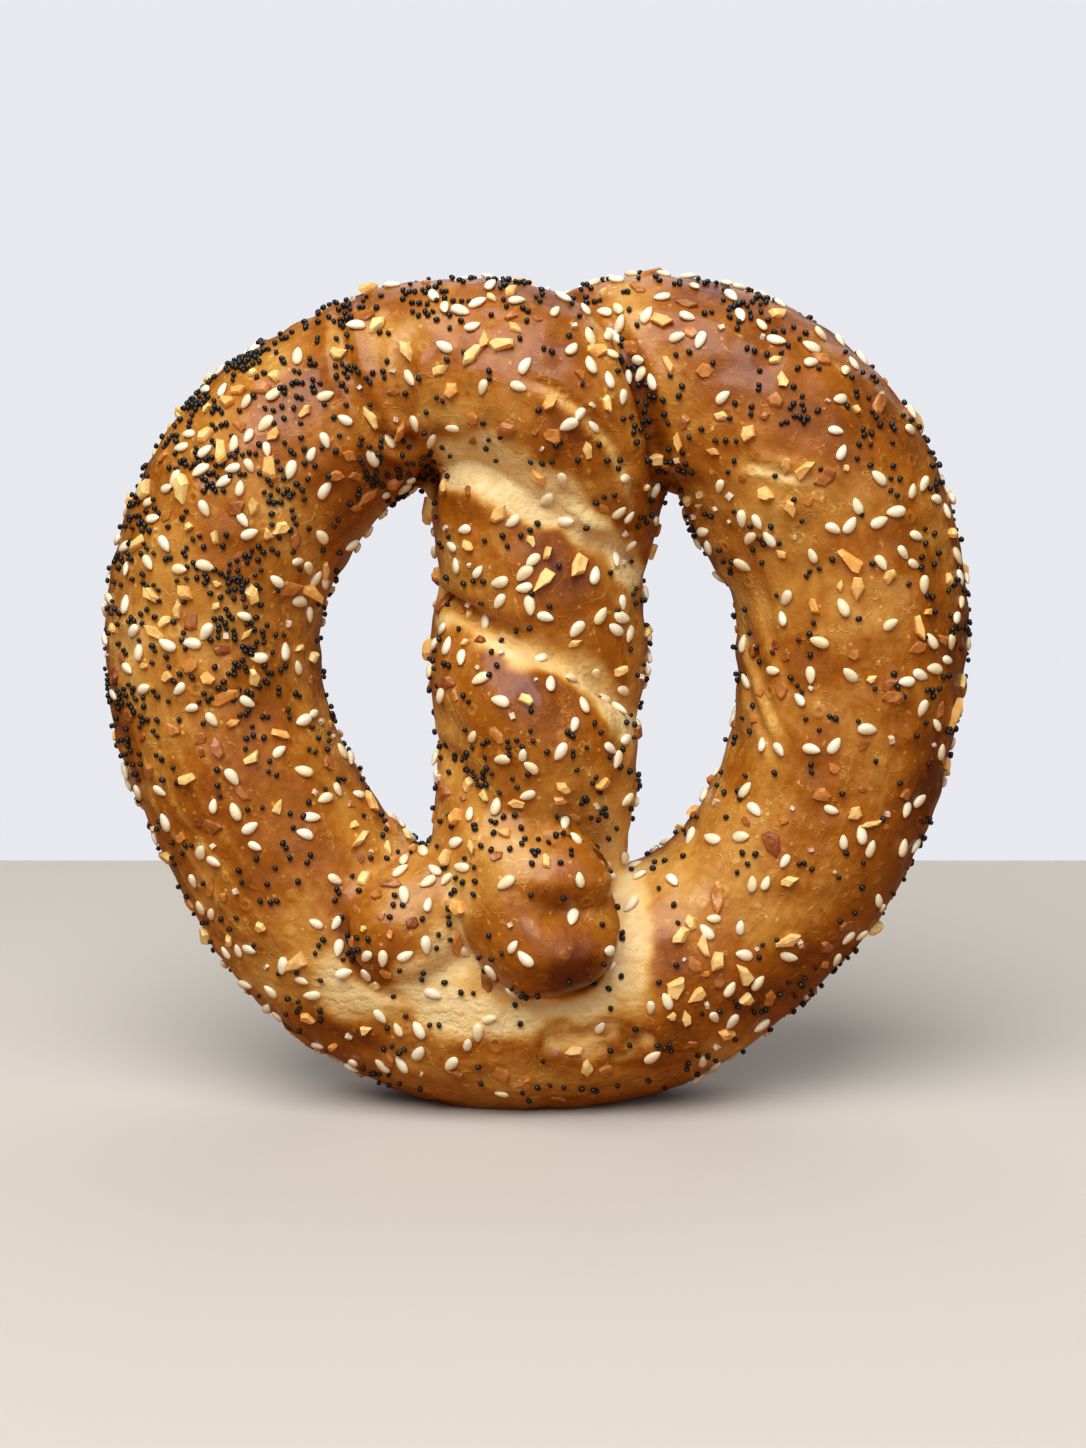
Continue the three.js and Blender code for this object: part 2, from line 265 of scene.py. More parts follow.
# Fine ridges along the rope at the lower left: x, z and half sizes, distance between them, height, slope
# along the rope, wavering, sharpness and browning.
RIDGES = (-60, 46, 13, 26)
RIDGE_APART = 3.6
RIDGE_HEIGHT = 0.34
RIDGE_SLOPE = 0.12
RIDGE_WAVES = (1.1, 18.0, 12)
RIDGE_POWER = 4
RIDGE_BROWNS = -0.20

# Pale dough where the ends are pressed on to the loop: heights over which it ends, how far it reaches on
# the loop and on the ends, and heights and x over which it ends beside the nub.
FOOT_FADE = (38.0, 50.0)
FOOT_REACH = 5.0
FOOT_WAVES = (1.5, 12.0, 4)
END_REACH = 1.1
NUB_TOP = (27.0, 34.0)
NUB_LEFT = (-22.0, -16.0)

# More dough that stayed pale, seen from the front: x, z, half sizes, how much, and whether on the loop
# alone. Its ragged edges, and the spot's values between which it fades.
PALE = (
    (-13, 21, 10.2, 5.6, 1.0, True), (-4, 18.8, 8, 3.4, 1.0, True), (15.6, 31, 5.0, 11.0, 0.82, True),
    (-36, 28, 7, 6, 0.35, True), (24, 37, 6, 8, 0.3, True), (40, 110.5, 9, 3.5, 0.45, True),
    (-16, 31, 4.5, 6.0, 0.8, False), (-20.5, 28, 5.0, 3.0, 0.8, False), (-13.5, 41, 3.0, 6.0, 0.45, False),
)
PALE_WAVES = ((0.26, 11.0, 10), (0.10, 3.5, 11))
PALE_EDGE = (0.05, 0.9)

# Where the crust is browner or paler than elsewhere, seen from the front: x, z, half sizes and how much.
# Rows are partly real browning and partly painted light and shade. Painted light pales faces that lie in
# shade, as under the A band's overhang, beside the crease between the arms, on the knob's top and along the
# bottom, and paints a highlight on the right loop's lower inner edge. Painted shade darkens the knob's
# dimple, the recess under the left shoulder and the loop's lower right, which faces down.
TOASTED_AND_SHADED = (
    # the arms and their crossing
    (45, 136, 30, 24, 0.14), (2, 142, 16, 9, 0.16), (12.5, 141, 5, 6, -0.38), (18, 129, 6, 7, -0.10),
    (20.5, 126, 3.5, 8, -0.17), (24, 124, 5, 10, -0.12), (3, 124, 10, 7, 0.12), (8, 117, 5, 4, 0.12),
    (12.4, 121, 4, 5, -0.07), (-14, 121, 11, 6, -0.20), (-13, 141, 11, 6, 0.12), (-8, 132, 6, 5, 0.09),
    (-28, 126, 8, 8, 0.04), (-30, 143, 6, 5, -0.13), (-31, 110, 9, 9, 0.15), (-29, 111, 6, 5, 0.09),
    (23, 111, 5, 6, 0.12), (27, 119, 8, 10, -0.06), (44, 131, 8, 7, -0.17), (40, 107, 11, 11, -0.18),
    # the column
    (10, 109, 6, 5, -0.06), (0, 97, 9, 6, 0.15), (-9, 96, 5, 6, -0.12), (12, 88, 5, 6, -0.08),
    (-17, 90, 4, 7, -0.14), (-17, 78, 4, 8, 0.17), (3, 70, 10, 8, 0.13), (-12, 63, 6, 8, -0.12),
    (-9, 59, 6, 5, -0.08),
    # the knob and the nub
    (11, 53, 8, 9, -0.20), (14.5, 48, 4, 8, -0.20), (13.5, 42, 3.5, 8, -0.12), (-2, 46, 8, 6, -0.04),
    (-7, 43, 6, 7, -0.14), (6.2, 41, 8, 2.4, 0.15), (5, 32, 8, 6, 0.08), (4, 29, 10, 6, 0.12),
    (4, 27, 11, 5, 0.05), (7, 25.6, 9, 2.2, 0.16), (-18, 49, 5, 6, -0.22), (-24, 39, 6, 5, -0.12),
    (-30, 35, 5, 7, 0.12), (-25, 27, 7, 4, 0.18),
    # the left of the loop
    (-57, 121, 12, 12, -0.09), (-52, 121, 6, 6, -0.07), (-48, 128, 9, 8, -0.05), (-40, 133, 8, 6, -0.15),
    (-40, 122, 5, 5, 0.09), (-66, 86, 12, 22, -0.14), (-60, 95, 6, 9, -0.09), (-61, 89, 6, 7, -0.09),
    (-50, 97, 7, 8, 0.08), (-50, 89, 6, 6, 0.09), (-41, 92, 6, 14, -0.10), (-71, 78, 6, 10, -0.10),
    (-49, 46, 8, 8, 0.15), (-29, 49, 5, 4, 0.10), (-36, 39, 8, 5, -0.07), (-59, 38, 7, 7, -0.08),
    (-48, 29, 14, 10, -0.10), (-54, 20, 5, 6, -0.20),
    # the right of the loop
    (72, 90, 10, 27, 0.06), (71, 100, 4, 6, -0.14), (54, 95, 13, 14, -0.10), (54, 90, 6, 6, 0.12),
    (32, 101, 5, 6, 0.26), (34, 86, 6, 14, -0.10), (35, 80, 5, 8, 0.10), (44, 80, 6, 6, 0.10),
    (53, 60, 14, 14, -0.08), (54, 59, 7, 6, -0.13), (65, 58, 5, 8, 0.17), (33, 59, 5, 5, 0.13),
    (62, 40, 18, 20, 0.08), (30, 44, 10, 9, -0.20), (34, 49, 6, 6, -0.16), (24, 52, 6, 4, 0.08),
    (23, 49, 6, 5, 0.26), (23, 28, 5, 5, 0.08), (45, 22, 12, 8, 0.12),
    # the lowest stretch
    (-4, 7, 30, 5, -0.28), (-38, 24, 10, 6, -0.10), (-30, 18, 8, 5, 0.27), (12, 13, 9, 6, 0.19),
    (23, 17, 6, 5, 0.10), (34, 11, 9, 8, -0.12),
)

# How toasted the crust is elsewhere, and how much more on the loop's outside, on the column's sides and on
# the back, with how far a face is turned where it counts as a side or as the back.
TOAST = 0.69
TOAST_WAVES = (0.06, 17.0, 7)
TOAST_OUTER = 0.08
TOAST_SIDES = -0.18
SIDE_FACING = (0.25, 0.85)
TOAST_BACK = 0.07
BACK_FACING = (0.2, 0.7)

# The crust's fine finish. Noise has so many waves a metre and so much detail. Marks have so many cells a
# metre, a share of the cells that have one, and the distances at which a mark is full and at which it ends.
DRIFT_NOISE = (170.0, 1.0)
DRIFT = (0.003, 0.003, 0.003)
BROAD_NOISE = (110.0, 4.0)
FINE_NOISE = (620.0, 3.0)
GRAIN_NOISE = (2400.0, 2.0)
STREAK_SCALE = (110.0, 900.0, 900.0)
STREAK_NOISE = (1.0, 2.0)
STREAK_SPAN = (0.50, 0.72)
FLECK_SCALE = (300.0, 620.0, 620.0)
FLECKS = (1.0, 0.20, 0.10, 0.24)
FRECKLES = (420.0, 0.16, 0.12, 0.34)
# Pale specks: partly pale flecks of the glaze and partly painted glints on it.
SPECKS_AND_GLINTS = (600.0, 0.22, 0.10, 0.28)
BLISTERS = (260.0, 0.22, 0.22, 0.42)
SWIRL_NOISE = (210.0, 3.0)
SWIRL_LINE = (0.006, 0.020)
SWIRL_PATCHES = (330.0, 1.0)
SWIRL_SPAN = (0.46, 0.60)
THREAD_SCALE = (600.0, 600.0, 760.0)
THREAD_NOISE = (1.0, 5.0)
THREAD_SPAN = (0.35, 0.65)
NOISE_SPAN = (0.3, 0.7)

# How much each mark browns the crust, and how far it stands out. How much of the browning is left on pale
# dough, and how its threads brown. Where the tones between raw and dark lie. How the roughness varies,
# and how it changes on pale dough and in freckles. Roughness of the glaze, and shine of the crust and floor.
BROWNS = {"broad": 0.14, "fine": 0.09, "streaks": -0.035, "flecks": -0.20, "freckles": 0.09,
          "blisters": -0.09, "specks_and_glints": -0.24, "swirls": -0.12}
RISES = {"relief": 0.60, "streaks": 0.16, "flecks": 0.22, "blisters": 0.55, "specks_and_glints": 0.25, "grain": 0.24,
         "swirls": 0.35, "threads": 0.6}
PALE_BROWNS = 0.06
THREAD_BROWNS = 0.12
TONES = ((0.22, "gold"), (0.48, "amber"), (0.70, "brown"))
ROUGH_SPAN = (-0.06, 0.08)
ROUGH_PALE = 0.22
ROUGH_FRECKLES = -0.08
GLAZE_ROUGHNESS = 0.15
SPECULAR = 0.2

# Each topping lies thicker in some places, seen from the front: x, z, half size and how much thicker.
SESAME_CLUMPS = (
    (-55, 119, 9, 2.6), (-69, 95, 7, 1.6), (-60, 110, 8, 2.5), (-8, 140, 4, 7), (12, 141, 6, 1.5),
    (13, 132, 4, 6), (17, 127, 4, 3), (-51, 131, 5, 3), (-50, 111, 6, 3), (-8.5, 121, 4, 1.5),
    (-60, 80, 5, 2.5), (-19, 38, 5, 4), (-23, 45.5, 4, 9), (-32, 43, 4, 5), (-28, 30, 5, 1.5),
    (63, 84, 5, 1.5), (23, 25, 5, 5), (-14, 18, 6, 3), (26, 40, 6, 1), (33, 48, 4, 2), (13, 80, 4, 2.5),
    (-17, 80, 3, 4), (2, 101, 5, 3), (2, 86, 6, 1.5), (-10, 100, 8, 1), (55, 108, 8, 0.6), (-9, 60, 8, 1),
    (52, 45, 24, -0.5), (46, 118, 22, -0.6), (0, 4, 30, -0.7), (4, 34, 15, -1.0), (-55, 45, 18, -0.5),
)
POPPY_CLUMPS = (
    (-53, 110.8, 2, 250), (-57, 112, 2.6, 24), (-50, 118, 5, 5), (-49.6, 128.7, 2, 90),
    (-33.1, 137.2, 3, 16), (-18.7, 139.6, 2.4, 38), (-51.2, 91.9, 2.3, 240), (-51.3, 86.6, 2.2, 200),
    (-42.6, 109, 2.6, 40), (-58.5, 122.7, 2.6, 34), (-68.6, 107.4, 4.5, 6), (-70.2, 97.7, 5, 8),
    (-43.3, 100.8, 4, 5), (-18.5, 111.5, 2.5, 6), (-48.4, 81.4, 4, 11), (-49.5, 73.1, 4, 6),
    (-69.2, 72.3, 5, 7), (-31.4, 127.7, 4, 5), (-26, 107.6, 2.2, 14), (-29.5, 112.5, 3.5, 8),
    (-38.7, 118, 4.5, 3), (-41.3, 124.4, 4.5, 4), (-45.9, 130.8, 4, 5), (-6.5, 141.4, 2, 24),
    (-2.5, 142, 3, 6), (10.3, 138.7, 4, 4), (13, 132, 3, 8), (18.5, 122, 3, 4), (22.7, 112.8, 2.2, 17),
    (32.6, 136.8, 2.2, 28), (37, 139.1, 3.5, 3), (34.8, 128.7, 3.5, 5), (38.8, 120.9, 4, 4),
    (54.5, 125.1, 4, 4), (57.6, 117.1, 4, 4), (42.3, 72.6, 4, 1), (33.4, 66, 4, 3), (33.7, 59.7, 4, 3),
    (61.3, 73.1, 4, 1), (71.1, 82.5, 5, 2), (-29.2, 31.5, 4, 5), (-15, 33, 3, 11), (-58.9, 96.3, 5, 5),
    (-65.3, 82.9, 5, 6), (-68.6, 66.3, 5, 4), (-9, 58, 7, 4), (-22, 50, 5, 6), (21, 51, 4, 3),
    (55, 35, 24, -0.55), (0, 4, 40, -0.5), (50, 70, 22, -0.5), (45, 120, 25, -0.5), (0, 78, 14, -0.6),
    (5, 100, 14, -0.4), (4, 34, 14, -0.7), (-52, 34, 18, -0.5),
)
GARLIC_CLUMPS = (
    (-55, 121, 7, 6), (-50, 127, 6, 4), (-47, 101, 9, 2.5), (-26, 131, 8, 1), (-8, 134, 8, 2),
    (12, 140, 5, 4), (-10, 58, 7, 4), (-25, 47, 6, 4), (-33, 42, 5, 3), (23, 24, 6, 3),
    (-9, 108, 6, 3), (60, 90, 8, 1.5), (40, 108, 8, 1.5), (-60, 84, 9, 1.5), (4, 34, 15, -1.0),
    (-55, 42, 20, -0.6), (52, 45, 22, -0.4), (0, 6, 30, -0.4),
)
ONION_CLUMPS = (
    (-52, 111, 8, 1), (33, 133, 7, 1), (39, 121, 7, 2), (52, 127, 7, 1), (24, 112, 5, 3), (67, 86, 7, 1.5),
    (-9, 58, 8, 2), (-24, 49, 6, 4), (-29, 42, 6, 2), (21, 51, 5, 1.5), (23, 26, 6, 2), (-28, 106, 6, 3),
    (-33, 26, 5, 3), (4, 34, 15, -1.0), (-55, 42, 20, -0.4), (52, 45, 22, -0.3),
)
SALT_CLUMPS = ((-55, 112, 14, 0.5), (-14, 20, 8, 0.4), (0, 92, 14, 0.6))


class Lying(NamedTuple):
    """How a topping lies on the dough.

    Its patches, the seed and unevenness of its clumps, the distance between its pieces, the room that later
    toppings leave round it, its tip in radians, its lift, its roughness and whether its faces are smooth.
    """

    patches: tuple
    seed: int
    uneven: float
    apart: float
    room: float
    tip: float
    lift: float
    roughness: float
    smooth: bool


# The toppings in the order in which they are scattered.
TOPPINGS = {
    "garlic": Lying(GARLIC_CLUMPS, seed=42, uneven=0.5, apart=2.4, room=1.2, tip=0.35, lift=0.35,
                    roughness=0.4, smooth=False),
    "onion": Lying(ONION_CLUMPS, seed=43, uneven=0.5, apart=2.2, room=1.1, tip=0.22, lift=0.0,
                   roughness=0.3, smooth=False),
    "sesame": Lying(SESAME_CLUMPS, seed=40, uneven=0.4, apart=2.3, room=1.0, tip=0.22, lift=0.38,
                    roughness=0.34, smooth=True),
    "salt": Lying(SALT_CLUMPS, seed=44, uneven=0.4, apart=2.0, room=0.8, tip=0.4, lift=0.2,
                  roughness=0.2, smooth=False),
    "poppy": Lying(POPPY_CLUMPS, seed=41, uneven=0.9, apart=0.7, room=0.35, tip=0.4, lift=0.4,
                   roughness=0.38, smooth=True),
}

# How thick the toppings lie: length of their clumps, least share between clumps, in bare patches and on
# slanting faces, share on faces that slant, share on the back and how far a face is turned there, heights
# over which they start, how many pale dough lacks, places tried for each piece, and seed of all draws.
CLUMP_LENGTH = 9.0
LEAST_CLUMP = 0.08
LEAST_PATCH = 0.1
LEAST_SQUARE = 0.1
SLANT_SHARE = 0.5
BACK_SHARE = 0.45
BACK_SPAN = (-0.55, 0.1)
BARE_FOOT = (2.5, 9.0)
BARE_PALE = 0.55
TRIES = 4
RANDOM_SEED = 11

# Shapes of the pieces. Widths and thicknesses are shares of the length, but a chip's thickness is a length.
GARLIC_CORNERS = 5
GARLIC_WIDTH = 0.66
GARLIC_THICK = 1.3
GARLIC_VARIES = 0.40
GARLIC_STRETCH = (0.8, 1.45)
GARLIC_CURL = 0.5
SLIVERS = 0.03
SLIVER_SCALE = (1.8, 0.55, 0.9)
ONION_CORNERS = 6
ONION_WIDTH = 0.72
ONION_THICK = 1.0
ONION_VARIES = 0.38
ONION_STRETCH = (0.75, 1.5)
ONION_CURL = 0.7
SESAME_GRID = (6, 8)
SESAME_WIDTH = 0.59
SESAME_THICK = 0.36
SESAME_VARIES = 0.16
SESAME_ENDS = (0.64, 0.46)
POPPY_GRID = (3, 6)
POPPY_WIDTH = 0.86
POPPY_VARIES = 0.15
POPPY_ENDS = (0.55, 0.5)
SALT_GRID = (2, 4)
SALT_WIDTH = 0.8
SALT_VARIES = 0.35
SALT_HALF = 0.7
SALT_TOP = 0.92
SALT_PEAK = 0.75
SALT_UNEVEN = 0.14

# A chip: size and height of its levels, how uneven its outline, corners, levels and peak are, how high its
# peak is, and how far it is sheared. How far a seed is bent, where its first and last rings lie, and what a
# bend takes from the square of x.
CHIP_LEVELS = ((0.80, -1.0), (1.0, -0.2), (0.97, 0.55), (0.78, 1.0))
CHIP_UNEVEN = 0.24
CHIP_CORNERS = 0.38
CHIP_JITTER = 0.14
CHIP_SHEAR = 0.25
CHIP_PEAK = 0.2
CHIP_PEAK_HEIGHT = (0.95, 1.25)
SEED_BEND = 0.16
SEED_FIRST = 0.9
BEND_LEVEL = 0.4

# The toppings' tints: shape of their spread, mottling of one piece and height of its fine relief in metres.
TINT_SPREAD = (1.6, 2.2)
TINT_NOISE = (900.0, 2.0)
TINT_MOTTLE = 0.22
TOPPING_BUMP = 0.0001

# The stage: half the floor's width, its finish, and the lights' sizes and places in metres.
FLOOR_HALF = 3000.0
FLOOR_ROUGHNESS = 0.7
LIGHTS = {
    "key": (0.9, (-0.18, -0.58, 0.88)),
    "back": (0.9, (0.15, 0.6, 0.75)),
    "fill": (1.8, (0.2, -1.0, 0.45)),
}


def linear(red, green, blue):
    """The linear colour of a display colour given from 0 to 255.

    A share of the whole up to 0.04045 is divided by 12.92. A higher one gains 0.055, is divided by 1.055
    and raised to the power of 2.4.
    """
    share = np.array([red, green, blue]) / 255.0
    return tuple(np.where(share <= 0.04045, share / 12.92, ((share + 0.055) / 1.055) ** 2.4))


def colour(name, description, *display):
    """A colour property whose default is a display colour."""
    return bpy.props.FloatVectorProperty(
        name=name, description=description, subtype="COLOR", size=3, min=0.0, max=1.0,
        default=linear(*display))


def length(name, description, default):
    """A length property, in metres."""
    return bpy.props.FloatProperty(
        name=name, description=description, unit="LENGTH", precision=5, default=default)


class PretzelDough(bpy.types.PropertyGroup):
    """Sizes and colours of the dough."""

    grain: length("Grain", "Edge of the cubes that the rope's stretches are fused on", 0.00085)
    lumps: length("Lumps", "Height of the broad lumps in the rope", 0.00026)
    dents: length("Dents", "Height of the small dents in the crust", 0.00013)
    crease: length("Crease", "How deep the line is where two strands meet", 0.0026)
    bump: length("Bump", "Height of the fine relief of the crust", 0.00027)
    roughness: bpy.props.FloatProperty(
        name="Roughness", description="Roughness of the glazed crust", subtype="FACTOR", default=0.42)
    coat: bpy.props.FloatProperty(
        name="Glaze", description="Weight of the clear glaze", subtype="FACTOR", default=0.3)
    raw: colour("Raw", "Dough that didn't brown", 244, 217, 158)
    gold: colour("Gold", "Lightly browned crust", 234, 191, 115)
    amber: colour("Amber", "Crust between gold and brown", 202, 143, 60)
    brown: colour("Brown", "Well browned crust", 166, 94, 15)
    dark: colour("Dark", "The darkest crust", 101, 38, 2)


class PretzelToppings(bpy.types.PropertyGroup):
    """Sizes, numbers and colours of the toppings."""

    sesame_count: bpy.props.IntProperty(name="Sesame", description="Number of sesame seeds", default=690)
    sesame_length: length("Sesame length", "Length of a sesame seed", 0.00302)
    sesame_light: colour("Sesame light", "Palest sesame", 255, 250, 224)
    sesame_dark: colour("Sesame dark", "Toasted sesame", 247, 227, 176)
    poppy_count: bpy.props.IntProperty(name="Poppy", description="Number of poppy seeds", default=2250)
    poppy_length: length("Poppy length", "Length of a poppy seed", 0.00112)
    poppy_light: colour("Poppy light", "Palest poppy", 16, 15, 17)
    poppy_dark: colour("Poppy dark", "Darkest poppy", 4, 4, 5)
    garlic_count: bpy.props.IntProperty(name="Garlic", description="Number of garlic chips", default=235)
    garlic_length: length("Garlic length", "Middling length of a garlic chip", 0.0028)
    garlic_light: colour("Garlic light", "Palest garlic", 255, 228, 150)
    garlic_dark: colour("Garlic dark", "Toasted garlic", 248, 174, 80)
    onion_count: bpy.props.IntProperty(name="Onion", description="Number of onion flakes", default=240)
    onion_length: length("Onion length", "Middling length of an onion flake", 0.0027)
    onion_light: colour("Onion light", "Palest onion", 210, 136, 62)
    onion_dark: colour("Onion dark", "Darkest onion", 134, 62, 20)
    salt_count: bpy.props.IntProperty(name="Salt", description="Number of salt crystals", default=110)
    salt_length: length("Salt length", "Middling edge of a salt crystal", 0.0012)
    salt_light: colour("Salt light", "Palest salt", 240, 232, 216)
    salt_dark: colour("Salt dark", "Salt that shows the crust", 222, 186, 136)


class PretzelStage(bpy.types.PropertyGroup):
    """The camera, the lights and the floor."""

    elevation: bpy.props.FloatProperty(
        name="Elevation", description="Camera's height above the horizon", subtype="ANGLE",
        default=math.radians(8))
    distance: length("Distance", "Camera's distance from what it looks at", 0.43)
    aim: bpy.props.FloatVectorProperty(
        name="Aim", description="What the camera looks at", subtype="TRANSLATION",
        default=(0.0007, 0.0, 0.0668))
    lens: bpy.props.FloatProperty(name="Lens", description="Focal length in millimetres", default=61.43)
    floor: colour("Floor", "Colour of the floor", 212, 204, 194)
    bounce: colour("Bounce", "Colour that the floor lends to what stands on it", 150, 104, 62)
    floor_ends: length("Floor's end", "How far behind the pretzel the floor ends", 0.216)
    wall: colour("Wall", "Colour behind the floor", 232, 233, 239)
    air: colour("Air", "Colour of the light all round", 226, 232, 244)
    air_strength: bpy.props.FloatProperty(
        name="Air strength", description="Strength of that light", default=0.07)
    key_power: bpy.props.FloatProperty(
        name="Key", description="Power of the large light above", default=13.6)
    back_power: bpy.props.FloatProperty(name="Back", description="Power of the light behind", default=3.0)
    fill_power: bpy.props.FloatProperty(name="Fill", description="Power of the light in front", default=5.4)


def smoothstep(value, low, high):
    """0 below low, 1 above high, and 3 s squared less 2 s cubed between, with s the share of the way."""
    share = np.clip((value - low) / (high - low), 0.0, 1.0)
    return share * share * (3.0 - 2.0 * share)


def inside(value, low, high):
    """1 inside a range, else 0: a smooth step over its low span times 1 less that over its high span."""
    return smoothstep(value, *low) * (1.0 - smoothstep(value, *high))


def bell(away):
    """e to the power of less the squared distance: 1 in the middle, fading to both sides."""
    return np.exp(-(away**2))


def between(share, ends):
    """The value at a share of the way from the first end to the last."""
    return ends[0] + (ends[1] - ends[0]) * share


def unit(vectors):
    """The same directions with length 1."""
    return vectors / np.linalg.norm(vectors, axis=-1, keepdims=True)


def waves(places, *rows):
    """A smooth field: for each row the sum of plane waves of nearly one length in random directions.

    Each wave is the cosine of the place along its direction times two pi over its length, plus a random
    phase. A row's sum is divided by the root of half the number of waves and multiplied by its height.
    """
    total = 0.0
    for height, wavelength, seed in rows:
        rng = np.random.default_rng(seed)
        way = unit(rng.normal(size=(WAVE_COUNT, 3))) * rng.uniform(*WAVE_VARIES, (WAVE_COUNT, 1))
        phase = rng.uniform(0.0, 2.0 * np.pi, WAVE_COUNT)
        field = np.cos(places @ way.T * (2.0 * np.pi / wavelength) + phase).sum(1)
        total = total + height * field / np.sqrt(WAVE_COUNT / 2.0)
    return total


def hills(angles, rows):
    """The sum of hills: each is half its rise times 1 plus the cosine of pi times the share of its span."""
    total = np.zeros_like(angles)
    for at, rise, span in rows:
        away = np.abs((angles - at + 540.0) % 360.0 - 180.0)
        total += np.where(away < span, rise * (1.0 + np.cos(np.pi * away / span)) / 2.0, 0.0)
    return total


def loop_stations():
    """Stations of the loop: a circle, x by the cosine and z by the sine, with shoulders and a lean."""
    angles = np.arange(LOOP_ANGLES[0], LOOP_ANGLES[1] + LOOP_STEP / 2, LOOP_STEP)
    turn = np.radians(angles)
    radius = LOOP_RADIUS + hills(angles, SHOULDERS)
    width = ROPE_RADIUS + hills(angles, ROPE_SWELLS)
    back = LOOP_LEAN * (1.0 + np.sin(turn)) / 2.0
    up = LOOP_HEIGHT + radius * np.sin(turn)
    return np.column_stack([radius * np.cos(turn), back, up, width, ROPE_FLATNESS * width])


def strand_stations(turns, high):
    """Stations of a strand: a helix about the column, x by the sine and y by the cosine of its turn.

    It is thicker and further out at its top, and comes forward on to the loop at its foot.
    """
    turn = np.arange(turns[0], turns[1] + TWIST_STEP / 2, TWIST_STEP)
    height = high - TWIST_PITCH * turn / 360.0
    top = smoothstep(height, TWIST_TOP - TWIST_PITCH / 2, TWIST_TOP + TWIST_PITCH / 8)
    foot = 1.0 - smoothstep(height, TWIST_FOOT, TWIST_FOOT + TWIST_PITCH)
    offset = TWIST_OFFSET + TWIST_SPREAD * top
    radius = STRAND_RADIUS + STRAND_SWELL * top
    x = TWIST_LEAN * (height - TWIST_MIDDLE) / TWIST_PITCH + offset * np.sin(np.radians(turn))
    y = LOOP_LEAN - TWIST_FORWARD * foot - offset * np.cos(np.radians(turn))
    return np.column_stack([x, y, height, radius, radius])


def course(stations):
    """The rope's course through stations: a smooth cubic line, sampled evenly and relaxed.

    Stations lie the root of their distance apart in the line's parameter. Between two of them it is the
    cubic that starts and ends with their slopes. A slope is the slope before a station, less that across
    it, plus that after it. Relaxing moves each sample to a quarter of each neighbour and half of itself.
    """
    gaps = np.sqrt(np.linalg.norm(np.diff(stations[:, :3], axis=0), axis=1))
    points = np.vstack([2 * stations[0] - stations[1], stations, 2 * stations[-1] - stations[-2]])
    before = np.concatenate([gaps[:1], gaps])[:, None]
    after = np.concatenate([gaps, gaps[-1:]])[:, None]
    slopes = ((points[1:-1] - points[:-2]) / before - (points[2:] - points[:-2]) / (before + after)
              + (points[2:] - points[1:-1]) / after)
    s = np.linspace(0.0, 1.0, SPLITS, endpoint=False)[None, :, None]
    span = gaps[:, None, None]
    first, last = stations[:-1, None], stations[1:, None]
    rise, fall = slopes[:-1, None] * span, slopes[1:, None] * span
    fine = (first * (2 * s**3 - 3 * s**2 + 1) + last * (3 * s**2 - 2 * s**3)
            + rise * (s**3 - 2 * s**2 + s) + fall * (s**3 - s**2))
    fine = np.vstack([fine.reshape(-1, stations.shape[1]), stations[-1:]])
    along = np.concatenate([[0.0], np.cumsum(np.linalg.norm(np.diff(fine[:, :3], axis=0), axis=1))])
    even = np.linspace(0.0, along[-1], int(round(along[-1] / SAMPLE_STEP)) + 1)
    line = np.column_stack([np.interp(even, along, column) for column in fine.T])
    for _ in range(RELAX_PASSES):
        line[1:-1] = (line[:-2] + 2.0 * line[1:-1] + line[2:]) / 4.0
    return line


def rope(stations, along_from):
    """A rope as arrays: middle, half sizes, distance along, and ways onwards, to the front and aside."""
    line = course(np.array(stations, float))
    middle = line[:, :3]
    onward = unit(np.gradient(middle, axis=0))
    face = unit(FRONT - (onward @ FRONT)[:, None] * onward)
    steps = np.linalg.norm(np.diff(middle, axis=0), axis=1)
    along = np.concatenate([[0.0], np.cumsum(steps)])
    end = np.clip(np.minimum(along, along[-1] - along) / END_ROUND, 0.0, 1.0)
    rounding = np.sqrt(1.0 - (1.0 - end) ** 2)
    return {"middle": middle, "halves": line[:, 3:] * rounding[:, None], "along": along_from + along,
            "onward": onward, "face": face, "side": np.cross(onward, face)}


def ropes():
    """The whole rope, from the left strand's foot round the loop to the knob, and the nub."""
    left = np.vstack([LEFT_ARM, strand_stations(LEFT_TURNS, TWIST_TOP), LEFT_FOOT])[::-1]
    right = np.vstack([RIGHT_ARM, strand_stations(RIGHT_TURNS, TWIST_TOP + TWIST_PITCH / 2), KNOB])
    return rope(np.vstack([left, loop_stations(), right]), 0.0), rope(NUB, NUB_ALONG)


def loop_span(line):
    """Where the loop starts and ends along the rope: at the samples nearest to its end stations."""
    ends = loop_stations()[[0, -1], :3]
    return [line["along"][np.linalg.norm(line["middle"] - end, axis=1).argmin()] for end in ends]


def swept(one):
    """The skin of a rope: an ellipse carried along it, its back pressed towards the tray.

    A point is the middle plus width times sine times aside plus depth times cosine times front. A point
    behind the start of the back comes to lie at the start plus the room times the hyperbolic tangent of the
    share of the room.
    """
    angle = np.linspace(0.0, 2.0 * np.pi, SIDES, endpoint=False)[None, :, None]
    wide = one["halves"][:, 0][:, None, None] * np.sin(angle) * one["side"][:, None]
    deep = one["halves"][:, 1][:, None, None] * np.cos(angle) * one["face"][:, None]
    points = one["middle"][:, None] + wide + deep
    room = BACK_TRAY - BACK_STARTS
    behind = points[..., 1] > BACK_STARTS
    pressed = BACK_STARTS + room * np.tanh((points[..., 1] - BACK_STARTS) / room)
    points[..., 1] = np.where(behind, pressed, points[..., 1])
    rows = len(points)
    here = np.arange(rows - 1)[:, None] * SIDES + np.arange(SIDES)
    there = np.arange(rows - 1)[:, None] * SIDES + (np.arange(SIDES) + 1) % SIDES
    faces = np.stack([here, there, there + SIDES, here + SIDES], axis=-1)
    return points.reshape(-1, 3), faces.reshape(-1, 4)


